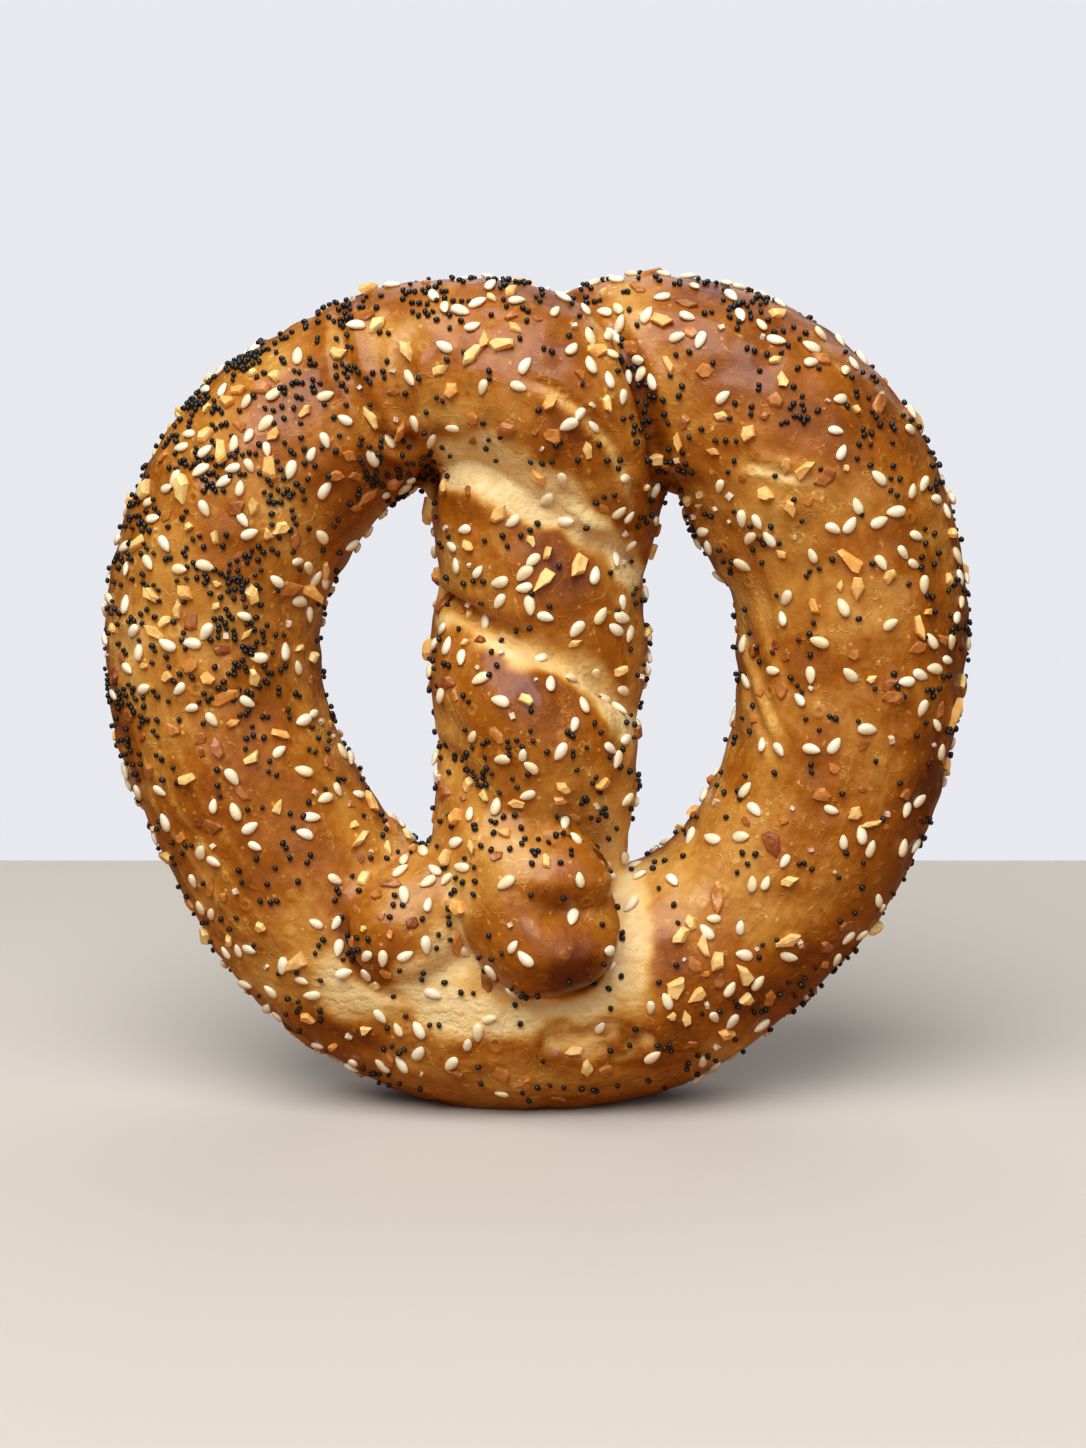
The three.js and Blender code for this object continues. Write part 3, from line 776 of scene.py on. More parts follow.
def put_mesh(name, points, faces):
    """A mesh of points in millimetres and lists of faces, as an object of the scene at the origin."""
    mesh = bpy.data.meshes.new(name)
    mesh.from_pydata((points * MM).tolist(), [], [face for group in faces for face in group.tolist()])
    made = bpy.data.objects.new(name, mesh)
    bpy.context.scene.collection.objects.link(made)
    return made


def fused(name, skins, grain):
    """One closed skin round all the ropes: their union, rebuilt on a grid of cubes."""
    starts = np.cumsum([0] + [len(points) for points, _ in skins[:-1]])
    points = np.vstack([points for points, _ in skins])
    rough = put_mesh("rough", points, [faces + start for (_, faces), start in zip(skins, starts)])
    remesh = rough.modifiers.new("fuse", "REMESH")
    remesh.mode = "VOXEL"
    remesh.voxel_size = grain
    mesh = bpy.data.meshes.new_from_object(rough.evaluated_get(bpy.context.evaluated_depsgraph_get()))
    mesh.name = name
    bpy.data.objects.remove(rough)
    made = bpy.data.objects.new(name, mesh)
    bpy.context.scene.collection.objects.link(made)
    return made


def read(collection, key, width, kind=np.float32):
    """One property of all items of a mesh collection, as rows."""
    values = np.empty(len(collection) * width, kind)
    collection.foreach_get(key, values)
    return values.reshape(-1, width) if width > 1 else values


def move_vertices(mesh, places):
    """Moves a mesh's vertices to places in millimetres."""
    mesh.vertices.foreach_set("co", (places * MM).astype(np.float32).ravel())
    mesh.update()


def smoothed(points, edges, passes):
    """Points that moved, each pass, half way to the mean of their neighbours."""
    count = np.bincount(edges.ravel(), minlength=len(points))[:, None]
    for _ in range(passes):
        total = np.zeros_like(points)
        for axis in range(points.shape[1]):
            total[:, axis] = (np.bincount(edges[:, 0], points[edges[:, 1], axis], len(points))
                              + np.bincount(edges[:, 1], points[edges[:, 0], axis], len(points)))
        points = (points + total / np.maximum(count, 1)) / 2.0
    return points


def on_ropes(places, lines):
    """Where each place lies on the ropes: along, gap to the next strand, how far under it, straightened.

    The gap is the distance to the second nearest strand's skin less that to the nearest one's, so it is 0
    in a crease. The straightened place is along, towards the front and aside.
    """
    joined = {key: np.concatenate([line[key] for line in lines]) for key in lines[0]}
    radius = joined["halves"].mean(1)
    along, gap, under = np.empty((3, len(places)))
    straight = np.empty((len(places), 3))
    for rows in np.array_split(np.arange(len(places)), LOTS):
        away = np.linalg.norm(places[rows, None] - joined["middle"][None], axis=2) - radius
        near = away.argmin(1)
        other = np.abs(joined["along"][None] - joined["along"][near][:, None]) > STRETCH_APART
        beyond = np.where(other, away, np.inf)
        gap[rows] = beyond.min(1) - away.min(1)
        under[rows] = joined["middle"][beyond.argmin(1), 2] - joined["middle"][near, 2]
        offset = places[rows] - joined["middle"][near]
        parts = [(offset * joined[key][near]).sum(1) for key in ("onward", "face", "side")]
        along[rows] = joined["along"][near] + parts[0]
        straight[rows] = np.column_stack([along[rows], parts[1], parts[2]])
    return along, gap, under, straight


def off_path(flat, path):
    """Distance from a path in the plane, which side of it, and share of the way along it."""
    path = np.array(path, float)
    best, side, share = np.full(len(flat), np.inf), np.zeros(len(flat)), np.zeros(len(flat))
    for step, (start, end) in enumerate(zip(path[:-1], path[1:])):
        run = end - start
        part = np.clip((flat - start) @ run / (run @ run), 0.0, 1.0)
        rest = flat - start - part[:, None] * run
        away = np.linalg.norm(rest, axis=1)
        nearer = away < best
        best = np.where(nearer, away, best)
        side = np.where(nearer, np.sign(run[0] * rest[:, 1] - run[1] * rest[:, 0]), side)
        share = np.where(nearer, (step + part) / (len(path) - 1), share)
    return best, side, share


def oval(flat, x, z, half_x, half_up, half_down=None, turn=0.0):
    """A spot seen from the front: e to the power of less the squared distance in half sizes.

    It may reach further downwards than upwards, and be turned.
    """
    turned = math.radians(turn)
    right, up = flat[:, 0] - x, flat[:, 1] - z
    across = right * math.cos(turned) + up * math.sin(turned)
    along = up * math.cos(turned) - right * math.sin(turned)
    half = np.where(along > 0.0, half_up, half_down or half_up)
    return np.exp(-((across / half_x) ** 2) - (along / half) ** 2)


def nudged(places):
    """The column's creases pulled up or down, its hollows pulled forward, and the holes' tops raised.

    Each is a shift of z or y by an amount times e to the less squared distance in half sizes.
    """
    x, y, z = places.T
    flat = places[:, [0, 2]]
    front = smoothstep(-y, *COLUMN_FRONT)
    column = (1.0 - smoothstep(np.abs(x), *COLUMN_EDGES)) * front
    lift = sum(up * bell((z - high - slope * x) / half) for high, slope, half, up in NUDGES)
    rise = sum(up * oval(flat, across, high, half, half) for across, high, half, up in HOLE_TOPS)
    ahead = sum(far * oval(flat, *row) for *row, far in FORWARD)
    return np.column_stack([x, y - front * ahead, z + column * lift + rise])


def seams(straight, places, edges):
    """Where the straightened place jumps from one strand to another: 1 there, fading to both sides."""
    first, last = edges.T
    jump = np.linalg.norm(straight[first] - straight[last], axis=1)
    torn = jump > ROPE_JUMP * np.linalg.norm(places[first] - places[last], axis=1)
    marked = np.zeros(len(places), bool)
    marked[edges[torn].ravel()] = True
    marked[edges[marked[edges].any(1)].ravel()] = True
    return np.maximum(smoothed(marked[:, None].astype(float), edges, SEAM_PASSES)[:, 0], marked)


class Skin(NamedTuple):
    """The dough's vertices.

    Their places and normals, their places seen from the front, whether they face the front and lie on the
    loop, and where they lie on the ropes, as on_ropes tells it.
    """

    places: np.ndarray
    normals: np.ndarray
    flat: np.ndarray
    front: np.ndarray
    on_loop: np.ndarray
    gap: np.ndarray
    under: np.ndarray
    straight: np.ndarray


def skin_of(places, normals, spot, span):
    """The skin of vertices that lie on the ropes at a spot. The loop is between the ends of its span."""
    along, gap, under, straight = spot
    front = smoothstep(-normals[:, 1], *FRONT_FACING)
    on_loop = (along > span[0]) & (along < span[1])
    return Skin(places, normals, places[:, [0, 2]], front, on_loop, gap, under, straight)


def upper_share(flat):
    """1 round the column's upper crease and 0 round its lower one: a smooth step across a slant."""
    return smoothstep(flat[:, 1] - BETWEEN_CREASES[0] - BETWEEN_CREASES[1] * flat[:, 0], *BETWEEN_SPAN)


def band_pale(flat, rows, torn):
    """How pale a crease is, seen from the front: 1 between its upper and lower edges, fading over both."""
    x, top, bottom = np.array(rows).T
    over = flat[:, 1] - np.interp(flat[:, 0], x, top) + torn
    above = flat[:, 1] - np.interp(flat[:, 0], x, bottom) + torn
    return (1.0 - smoothstep(over, *UPPER_FADE)) * smoothstep(above, *LOWER_FADE)


def crease_pale(skin):
    """How pale the column's creases are: between their edges in front, and by the gap elsewhere.

    Elsewhere the dough is pale near the crease and fades where its reach ends. The reach changes evenly
    from the column's left edge to its right one. Fine waves tear all edges.
    """
    x, z = skin.flat.T
    share = smoothstep(x, -COLUMN_HALF, COLUMN_HALF)
    upper = upper_share(skin.flat)
    torn = waves(skin.places, *CREASE_WAVES)
    below, above = (between(upper, (between(share, low), between(share, high)))
                    for low, high in zip(LOWER_CREASE, UPPER_CREASE))
    reach = np.where(skin.under > 0.0, below, above) * (1.0 + CREASE_RAGGED * torn)
    side = 1.0 - smoothstep(skin.gap, CREASE_FADE[0] * reach, CREASE_FADE[1] * reach)
    lower = LOWER_PALE * band_pale(skin.flat, LOWER_BAND, torn)
    front = np.maximum(band_pale(skin.flat, UPPER_BAND, torn), lower)
    front *= 1.0 - smoothstep(np.abs(x), *BAND_SIDES)
    arm = smoothstep(x, *ARM_SIDE) * smoothstep(z, *ARM_FOOT)
    return between(skin.front, (side, front)) * inside(z, BAND_FOOT, BAND_TOP) * (1.0 - arm)


def pale_dough(skin, line):
    """How pale the dough is: the most of its creases, the rims of the pressed ends and the spots of PALE.

    A rim is a bell over the gap to the next strand. A spot is an oval times waves, with a smooth step.
    """
    x, z = skin.flat.T
    # Pale dough is darkened along the line where two strands meet: painted shade in the crease.
    pale = crease_pale(skin) * ~skin.on_loop * (1.0 - CREASE_SHADE * line)
    foot = 1.0 - smoothstep(z, *FOOT_FADE)
    foot *= 1.0 - smoothstep(z, *NUB_TOP) * (1.0 - smoothstep(x, *NUB_LEFT))
    around = bell(skin.gap / (FOOT_REACH + waves(skin.places, FOOT_WAVES)))
    pale = np.maximum(pale, foot * np.where(skin.on_loop, around, bell(skin.gap / END_REACH)))
    ragged = 1.0 + waves(skin.places, *PALE_WAVES)
    for *row, much, loop_only in PALE:
        spot = smoothstep(oval(skin.flat, *row) * ragged, *PALE_EDGE)
        pale = np.maximum(pale, much * spot * skin.front * (skin.on_loop | (not loop_only)))
    return pale


def browning_and_shade(skin, column):
    """How toasted the crust is: evenly, with waves, spots of browning and of painted light and shade, and by
    where a face is turned.

    On the loop it browns by the part of the normal that points away from the loop's middle.
    """
    away = unit(skin.flat - np.array([0.0, LOOP_HEIGHT]))
    outward = (away * skin.normals[:, [0, 2]]).sum(1) * skin.on_loop
    aside = (1.0 - smoothstep(-skin.normals[:, 1], *SIDE_FACING)) * column * ~skin.on_loop
    behind = smoothstep(skin.normals[:, 1], *BACK_FACING)
    # The table's spots: partly real browning, partly painted light on faces in shade and painted shade in
    # recesses.
    marked = sum(much * oval(skin.flat, *row) for *row, much in TOASTED_AND_SHADED) * skin.front
    turned = TOAST_OUTER * outward + TOAST_SIDES * aside + TOAST_BACK * behind
    return TOAST + waves(skin.places, TOAST_WAVES) + marked + turned


def folded(skin, out, pale, toast):
    """The crust with its folds: each pressed in along its path, with a lip, a pale flank and a darker line
    of painted shade in its crease.

    Each of these is a bell over the distance from the path in half widths, faded at the path's ends.
    """
    for path, depth, half, lip, paleness, brown in FOLDS:
        away, side, share = off_path(skin.flat, path)
        ends = inside(share, *FOLD_ENDS) * skin.front
        out = out + ends * (lip * bell(away / half - FOLD_LIP_AT) - depth * bell(away / half))
        pale = np.maximum(pale, paleness * ends * bell((away * side + half) / (FOLD_PALE_WIDTH * half)))
        # The fold's darker line is painted shade in its crease, and it clears the pale dough under it.
        cleared = min(1.0, FOLD_SHADE_CLEARS * brown) * ends * bell(away / (FOLD_CLEAR_WIDTH * half))
        pale = pale * (1.0 - cleared)
        toast = toast + brown * ends * bell(away / (FOLD_SHADE_WIDTH * half))
    return out, pale, toast


def knob_relief(skin):
    """The knob's rise, from its ridge, dimple and upper edge, and the painted shade of the dark line along
    its edge.

    Ridge and dimple are ovals. The edge rises inside its path and drops outside, by bells over distance.
    """
    on_knob = smoothstep(KNOB_FROM - skin.places[:, 1], *KNOB_SPAN) * skin.front * ~skin.on_loop
    forms = sum(rise * oval(skin.flat, *row) for *row, rise in KNOB_FORMS) * on_knob
    away, side, share = off_path(skin.flat, KNOB_EDGE)
    ends = inside(share, *KNOB_EDGE_ENDS) * skin.front * ~skin.on_loop
    within = KNOB_EDGE_RISE[0] * bell(away / KNOB_EDGE_RISE[1])
    beyond = -KNOB_EDGE_DROP[0] * bell(away / KNOB_EDGE_DROP[1])
    edge = ends * np.where(side < 0.0, within, beyond)
    return forms + edge, KNOB_EDGE_SHADE * ends * bell(away / KNOB_EDGE_LINE)


def ridges(skin):
    """Fine ridges along the rope: a power of the sine across it, where that is above 0, in an oval."""
    across = skin.straight[:, 2] + RIDGE_SLOPE * skin.straight[:, 0]
    lines = np.sin(2.0 * np.pi * across / RIDGE_APART + waves(skin.places, RIDGE_WAVES))
    return np.maximum(lines, 0.0) ** RIDGE_POWER * oval(skin.flat, *RIDGES) * skin.on_loop


def torn_patch(skin):
    """The torn patch and its rim: a smooth step of a ragged oval, and a bell round one value of it."""
    shown = skin.front * skin.on_loop
    ragged = oval(skin.flat, *TORN) * (1.0 + waves(skin.places, *TORN_WAVES)) * shown
    return smoothstep(ragged, *TORN_EDGE), bell((ragged - TORN_RIM) / TORN_RIM_WIDTH) * shown


def shape_crust(skin, settings):
    """How far each vertex moves out along its normal, and how pale and how toasted it is, with painted light
    and shade.

    The move is the sum of lumps, dents, the line between two strands, the fill of its notches, folds, the
    knob's relief, ridges and the torn patch.
    """
    x, z = skin.flat.T
    column = (1.0 - smoothstep(np.abs(x), *COLUMN_EDGES)) * inside(z, COLUMN_FOOT, COLUMN_TOP)
    line = bell(skin.gap / CREASE_GAP) * smoothstep(z, *CREASE_FOOT)
    line *= 1.0 - CREASE_FILLED * upper_share(skin.flat)
    out = settings.lumps / MM * waves(skin.places, *LUMPS) + settings.dents / MM * waves(skin.places, DENTS)
    out -= settings.crease / MM * line * skin.front
    aside = 1.0 - smoothstep(np.abs(skin.normals[:, 1]), *NOTCH_FACING)
    out += NOTCH_FILL * bell(skin.gap / NOTCH_GAP) * aside * column
    out, pale, toast = folded(skin, out, pale_dough(skin, line), browning_and_shade(skin, column))
    knob, knob_edge_shade = knob_relief(skin)
    ridge = ridges(skin)
    torn, rim = torn_patch(skin)
    out += knob + RIDGE_HEIGHT * ridge
    out += torn * (waves(skin.places, TORN_ROUGH) - TORN_DEPTH) + TORN_LIP * rim
    crumb = TORN_PALE + waves(skin.places, TORN_CRUMB)
    pale = between(torn, (pale * (1.0 - TORN_RIM_CLEARS * rim), crumb))
    # The knob's edge line adds painted shade where the knob overhangs the column; ridges and the torn rim
    # brown the crust itself.
    toast += knob_edge_shade + RIDGE_BROWNS * ridge + TORN_RIM_BROWNS * rim
    return out, np.clip(pale, 0.0, 1.0), np.clip(toast, 0.0, 1.0)


def feed(tree, node, inputs):
    """Feeds a node's inputs with values or with other nodes' outputs."""
    for key, value in inputs.items():
        if isinstance(value, bpy.types.NodeSocket):
            tree.links.new(value, node.inputs[key])
        else:
            node.inputs[key].default_value = value


def put(tree, kind, inputs=None, **settings):
    """A new node, its settings made and its inputs fed."""
    node = tree.nodes.new(kind)
    for key, value in settings.items():
        setattr(node, key, value)
    feed(tree, node, inputs or {})
    return node


def sums(tree, operation, first, second):
    """The outcome of a sum on two values."""
    return put(tree, "ShaderNodeMath", {0: first, 1: second}, operation=operation).outputs[0]


def fade(tree, value, low, high, start=0.0, end=1.0):
    """A value carried smoothly from one range into another."""
    ranges = {"Value": value, "From Min": low, "From Max": high, "To Min": start, "To Max": end}
    return put(tree, "ShaderNodeMapRange", ranges, interpolation_type="SMOOTHSTEP").outputs["Result"]


def noise(tree, place, scale, detail, output="Fac"):
    """Noise between 0 and 1 at a place, with so many waves a metre, as a value or as a colour."""
    inputs = {"Vector": place, "Scale": scale, "Detail": detail}
    return put(tree, "ShaderNodeTexNoise", inputs).outputs[output]


def new_group(name, inputs, outputs):
    """A shader node group with the named sockets: its tree, its entry and its exit."""
    tree = bpy.data.node_groups.new(name, "ShaderNodeTree")
    for socket, kind in inputs:
        tree.interface.new_socket(socket, in_out="INPUT", socket_type=kind)
    for socket, kind in outputs:
        tree.interface.new_socket(socket, in_out="OUTPUT", socket_type=kind)
    return tree, tree.nodes.new("NodeGroupInput").outputs, tree.nodes.new("NodeGroupOutput").inputs


FLOAT, VECTOR, COLOUR = "NodeSocketFloat", "NodeSocketVector", "NodeSocketColor"


def cell_spots(tree, place, scale, share, low, high):
    """Round spots at a share of the cells of a field, as 1 inside and 0 outside."""
    cells = put(tree, "ShaderNodeTexVoronoi", {"Vector": place, "Scale": scale})
    picked = put(tree, "ShaderNodeSeparateColor", {0: cells.outputs["Color"]}).outputs[0]
    shape = fade(tree, cells.outputs["Distance"], low, high, 1.0, 0.0)
    return sums(tree, "MULTIPLY", shape, sums(tree, "LESS_THAN", picked, share))


def cell_rings(tree, place, scale, share, inner, outer):
    """Rings at a share of the cells of a field: spots less smaller spots."""
    whole = cell_spots(tree, place, scale, share, inner, outer)
    hollow = cell_spots(tree, place, scale, share, inner / 3.0, inner)
    return sums(tree, "SUBTRACT", whole, hollow)


def scaled(tree, place, scale):
    """A place whose parts are multiplied."""
    return put(tree, "ShaderNodeVectorMath", {0: place, 1: scale}, operation="MULTIPLY").outputs[0]


def added(tree, first, *terms):
    """A value plus pairs of a value and its weight."""
    for value, weight in terms:
        inputs = {0: value, 1: weight, 2: first}
        first = put(tree, "ShaderNodeMath", inputs, operation="MULTIPLY_ADD").outputs[0]
    return first


def crust_marks(tree, entry):
    """The crust's marks as values by name: noise by place, streaks and flecks along the rope, spots, lines.

    The rope's place drifts a little with noise. Light marks are multiplied by how far the crust is baked,
    which is 0 at seams and on pale dough. Swirls are where noise is near a half, in patches. The pale specks
    are partly pale flecks of the glaze and partly painted glints.
    """
    place, pale = entry["Place"], entry["Pale"]
    drifted = {0: noise(tree, place, *DRIFT_NOISE, "Color"), 1: DRIFT, 2: entry["Rope"]}
    along = put(tree, "ShaderNodeVectorMath", drifted, operation="MULTIPLY_ADD").outputs[0]
    whole = sums(tree, "SUBTRACT", 1.0, entry["Seam"])
    baked = sums(tree, "MULTIPLY", whole, sums(tree, "SUBTRACT", 1.0, pale))
    streaks = noise(tree, scaled(tree, along, STREAK_SCALE), *STREAK_NOISE)
    threads = noise(tree, scaled(tree, place, THREAD_SCALE), *THREAD_NOISE)
    swirls = sums(tree, "ABSOLUTE", sums(tree, "SUBTRACT", noise(tree, place, *SWIRL_NOISE), 0.5), 0.0)
    patches = fade(tree, noise(tree, place, *SWIRL_PATCHES), *SWIRL_SPAN)
    light = {
        "streaks": fade(tree, streaks, *STREAK_SPAN),
        "flecks": cell_spots(tree, scaled(tree, along, FLECK_SCALE), *FLECKS),
        # Pale specks, partly painted glints.
        "specks_and_glints": cell_spots(tree, place, *SPECKS_AND_GLINTS),
        "swirls": sums(tree, "MULTIPLY", fade(tree, swirls, *SWIRL_LINE, 1.0, 0.0), patches),
    }
    marks = {name: sums(tree, "MULTIPLY", mark, baked) for name, mark in light.items()}
    marks["freckles"] = cell_spots(tree, place, *FRECKLES)
    marks["blisters"] = cell_rings(tree, place, *BLISTERS)
    marks["threads"] = sums(tree, "MULTIPLY", pale, fade(tree, threads, *THREAD_SPAN, -0.5, 0.5))
    marks["grain"] = noise(tree, place, *GRAIN_NOISE)
    marks["ground"] = noise(tree, place, *BROAD_NOISE)
    marks["relief"] = noise(tree, place, *FINE_NOISE)
    marks["broad"] = fade(tree, marks["ground"], *NOISE_SPAN, -0.5, 0.5)
    marks["fine"] = fade(tree, marks["relief"], *NOISE_SPAN, -0.5, 0.5)
    return marks


def crust_group(settings):
    """The crust's finish: colour by how toasted it is, with its marks and the threads of pale dough."""
    tree, entry, leave = new_group(
        "crust_finish",
        (("Place", VECTOR), ("Rope", VECTOR), ("Toast", FLOAT), ("Pale", FLOAT), ("Seam", FLOAT)),
        (("Color", COLOUR), ("Roughness", FLOAT), ("Height", FLOAT)))
    pale, marks = entry["Pale"], crust_marks(tree, entry)
    toast = added(tree, entry["Toast"], *((marks[key], weight) for key, weight in BROWNS.items()))
    browned = sums(tree, "MULTIPLY", toast, fade(tree, pale, 0.0, 1.0, 1.0, PALE_BROWNS))
    browned = added(tree, browned, (marks["threads"], THREAD_BROWNS))
    ramp = put(tree, "ShaderNodeValToRGB", {"Fac": browned})
    ends = ramp.color_ramp.elements
    ends[0].position, ends[0].color = 0.0, (*settings.raw, 1.0)
    ends[1].position, ends[1].color = 1.0, (*settings.dark, 1.0)
    for at, tone in TONES:
        ends.new(at).color = (*getattr(settings, tone), 1.0)
    low, high = (settings.roughness + change for change in ROUGH_SPAN)
    rough = fade(tree, marks["ground"], *NOISE_SPAN, low, high)
    rough = added(tree, rough, (pale, ROUGH_PALE), (marks["freckles"], ROUGH_FRECKLES))
    height = added(tree, 0.0, *((marks[key], weight) for key, weight in RISES.items()))
    for socket, value in (("Color", ramp.outputs["Color"]), ("Roughness", rough), ("Height", height)):
        tree.links.new(value, leave[socket])
    return tree


def topping_group():
    """A topping's finish: between its two colours by its own tint and by fine mottling."""
    tree, entry, leave = new_group(
        "topping_finish",
        (("Place", VECTOR), ("Tint", FLOAT), ("Light", COLOUR), ("Dark", COLOUR)),
        (("Color", COLOUR), ("Height", FLOAT)))
    mottle = noise(tree, entry["Place"], *TINT_NOISE)
    share = sums(tree, "ADD", entry["Tint"], fade(tree, mottle, *NOISE_SPAN, -TINT_MOTTLE, TINT_MOTTLE))
    mix = put(tree, "ShaderNodeMix", {0: share, 6: entry["Light"], 7: entry["Dark"]}, data_type="RGBA")
    tree.links.new(mix.outputs[2], leave["Color"])
    tree.links.new(mottle, leave["Height"])
    return tree


def new_material(name, constants):
    """An empty material with a Principled surface: itself, its tree and the surface."""
    material = bpy.data.materials.new(name)
    material.use_nodes = True
    tree = material.node_tree
    tree.nodes.clear()
    surface = put(tree, "ShaderNodeBsdfPrincipled", constants)
    put(tree, "ShaderNodeOutputMaterial", {"Surface": surface.outputs[0]})
    return material, tree, surface


def crust_material(settings):
    """The glazed crust."""
    constants = {"Coat Weight": settings.coat, "Coat Roughness": GLAZE_ROUGHNESS,
                 "Specular IOR Level": SPECULAR}
    material, tree, surface = new_material("crust", constants)
    fed = {"Place": put(tree, "ShaderNodeTexCoord").outputs["Object"]}
    for key, output in (("rope", "Vector"), ("toast", "Fac"), ("pale", "Fac"), ("seam", "Fac")):
        fed[key.title()] = put(tree, "ShaderNodeAttribute", attribute_name=key).outputs[output]
    finish = put(tree, "ShaderNodeGroup", fed, node_tree=crust_group(settings)).outputs
    relief = {"Height": finish["Height"], "Distance": settings.bump}
    bump = put(tree, "ShaderNodeBump", relief).outputs["Normal"]
    feed(tree, surface, {"Base Color": finish["Color"], "Roughness": finish["Roughness"], "Normal": bump})
    return material


def topping_material(name, group, light, dark, roughness):
    """A topping's material from its two colours and its roughness."""
    material, tree, surface = new_material(name, {"Roughness": roughness})
    place = put(tree, "ShaderNodeTexCoord").outputs["Object"]
    tint = put(tree, "ShaderNodeAttribute", attribute_name="tint").outputs["Fac"]
    fed = {"Place": place, "Tint": tint, "Light": (*light, 1.0), "Dark": (*dark, 1.0)}
    finish = put(tree, "ShaderNodeGroup", fed, node_tree=group).outputs
    relief = {"Height": finish["Height"], "Distance": TOPPING_BUMP}
    bump = put(tree, "ShaderNodeBump", relief).outputs["Normal"]
    feed(tree, surface, {"Base Color": finish["Color"], "Normal": bump})
    return material


def floor_material(settings):
    """The floor: pale where the camera sees it, and of its bounce colour for the light that it sends on."""
    constants = {"Roughness": FLOOR_ROUGHNESS, "Specular IOR Level": SPECULAR}
    material, tree, surface = new_material("floor", constants)
    seen = put(tree, "ShaderNodeLightPath").outputs["Is Camera Ray"]
    tones = {0: seen, 6: (*settings.bounce, 1.0), 7: (*settings.floor, 1.0)}
    mix = put(tree, "ShaderNodeMix", tones, data_type="RGBA")
    feed(tree, surface, {"Base Color": mix.outputs[2]})
    return material


def name_values(mesh, key, values, kind="FLOAT", field="value"):
    """Gives each vertex a named value that a material reads."""
    mesh.attributes.new(key, kind, "POINT").data.foreach_set(field, values.astype(np.float32).ravel())


def lathe_faces(levels, sides):
    """Faces of a closed skin that is a pole, levels of points, and a pole."""
    ring = 1 + np.arange(levels)[:, None] * sides
    here, there = np.arange(sides), (np.arange(sides) + 1) % sides
    band = np.stack([ring[:-1] + here, ring[:-1] + there, ring[1:] + there, ring[1:] + here], axis=-1)
    first = np.stack([np.zeros(sides, int), 1 + there, 1 + here], axis=-1)
    last = np.stack([np.full(sides, 1 + levels * sides), ring[-1] + here, ring[-1] + there], axis=-1)
    return band.reshape(-1, 4), np.vstack([first, last])


def drops(count, rng, levels, sides, point, blunt):
    """Seeds that lie along x: rings of radius s to the power of point times 1 - s to the power of blunt.

    The radius is 1 at most, and the length runs from -1 at the pointed end to 1. Each seed is bent
    a little, by the square of x.
    """
    share = (np.arange(levels) + SEED_FIRST) / (levels - 1.0 + 2.0 * SEED_FIRST)
    s = (1.0 - np.cos(np.pi * share)) / 2.0
    widest = point / (point + blunt)
    radius = (s / widest) ** point * ((1.0 - s) / (1.0 - widest)) ** blunt
    angle = np.linspace(0.0, 2.0 * np.pi, sides, endpoint=False)
    parts = [np.broadcast_to((2.0 * s - 1.0)[:, None], (levels, sides)),
             radius[:, None] * np.cos(angle), radius[:, None] * np.sin(angle)]
    points = np.stack(parts, axis=-1).reshape(-1, 3)
    points = np.vstack([[-1.0, 0.0, 0.0], points, [1.0, 0.0, 0.0]])
    points = np.repeat(points[None], count, axis=0)
    bend = rng.uniform(-SEED_BEND, SEED_BEND, (count, 1))
    points[:, :, 1] += bend * (points[:, :, 0] ** 2 - BEND_LEVEL)
    return points


def chips(count, rng, corners, curl):
    """Broken chips: an uneven outline, narrower below, bevelled above, sheared, curled by x squared."""
    shift = rng.uniform(-CHIP_CORNERS, CHIP_CORNERS, (count, corners))
    angle = 2.0 * np.pi * (np.arange(corners) + shift) / corners
    reach = 1.0 + rng.uniform(-CHIP_UNEVEN, CHIP_UNEVEN, (count, corners))
    outline = np.stack([reach * np.cos(angle), reach * np.sin(angle)], axis=-1)
    shear = rng.uniform(-CHIP_SHEAR, CHIP_SHEAR, (count, 1, 2))
    levels = []
    for size, height in CHIP_LEVELS:
        jitter = rng.uniform(-CHIP_JITTER, CHIP_JITTER, (count, corners, 1))
        levels.append(np.concatenate([outline * size + shear * height, height + jitter], axis=-1))
    low = np.concatenate([-shear, np.full((count, 1, 1), -1.0)], axis=-1)
    peak = shear + rng.uniform(-CHIP_PEAK, CHIP_PEAK, (count, 1, 2))
    high = np.concatenate([peak, rng.uniform(*CHIP_PEAK_HEIGHT, (count, 1, 1))], axis=-1)
    points = np.concatenate([low, *levels, high], axis=1)
    points[:, :, 2] += curl * rng.uniform(-1.0, 1.0, (count, 1)) * (points[:, :, 0] ** 2 - BEND_LEVEL)
    return points


def crystals(count, rng):
    """Salt: boxes with uneven corners, a little narrower above."""
    sides = SALT_GRID[1]
    angle = np.pi / 4 + np.linspace(0.0, 2.0 * np.pi, sides, endpoint=False)
    ring = np.column_stack([np.cos(angle), np.sin(angle)])
    low = np.column_stack([ring, np.full(sides, -SALT_HALF)])
    high = np.column_stack([ring * SALT_TOP, np.full(sides, SALT_HALF)])
    points = np.vstack([[0.0, 0.0, -SALT_HALF], low, high, [0.0, 0.0, SALT_PEAK]])
    return points[None] + rng.uniform(-SALT_UNEVEN, SALT_UNEVEN, (count, len(points), 3))


def halves(count, rng, sizes, vary):
    """Half sizes of pieces: half the usual sizes times a random share for each piece."""
    return np.array(sizes) * rng.uniform(1.0 - vary, 1.0 + vary, (count, 1)) / 2


def garlic(count, long, rng):
    """Garlic: chips of random lengths, a few of them slivers. Their shapes and the faces of one."""
    size = halves(count, rng, (long, long * GARLIC_WIDTH, GARLIC_THICK), GARLIC_VARIES)
    size[:, 0] *= rng.uniform(*GARLIC_STRETCH, count)
    size[rng.random(count) < SLIVERS] *= SLIVER_SCALE
    shapes = chips(count, rng, GARLIC_CORNERS, GARLIC_CURL) * size[:, None]
    return shapes, lathe_faces(len(CHIP_LEVELS), GARLIC_CORNERS)


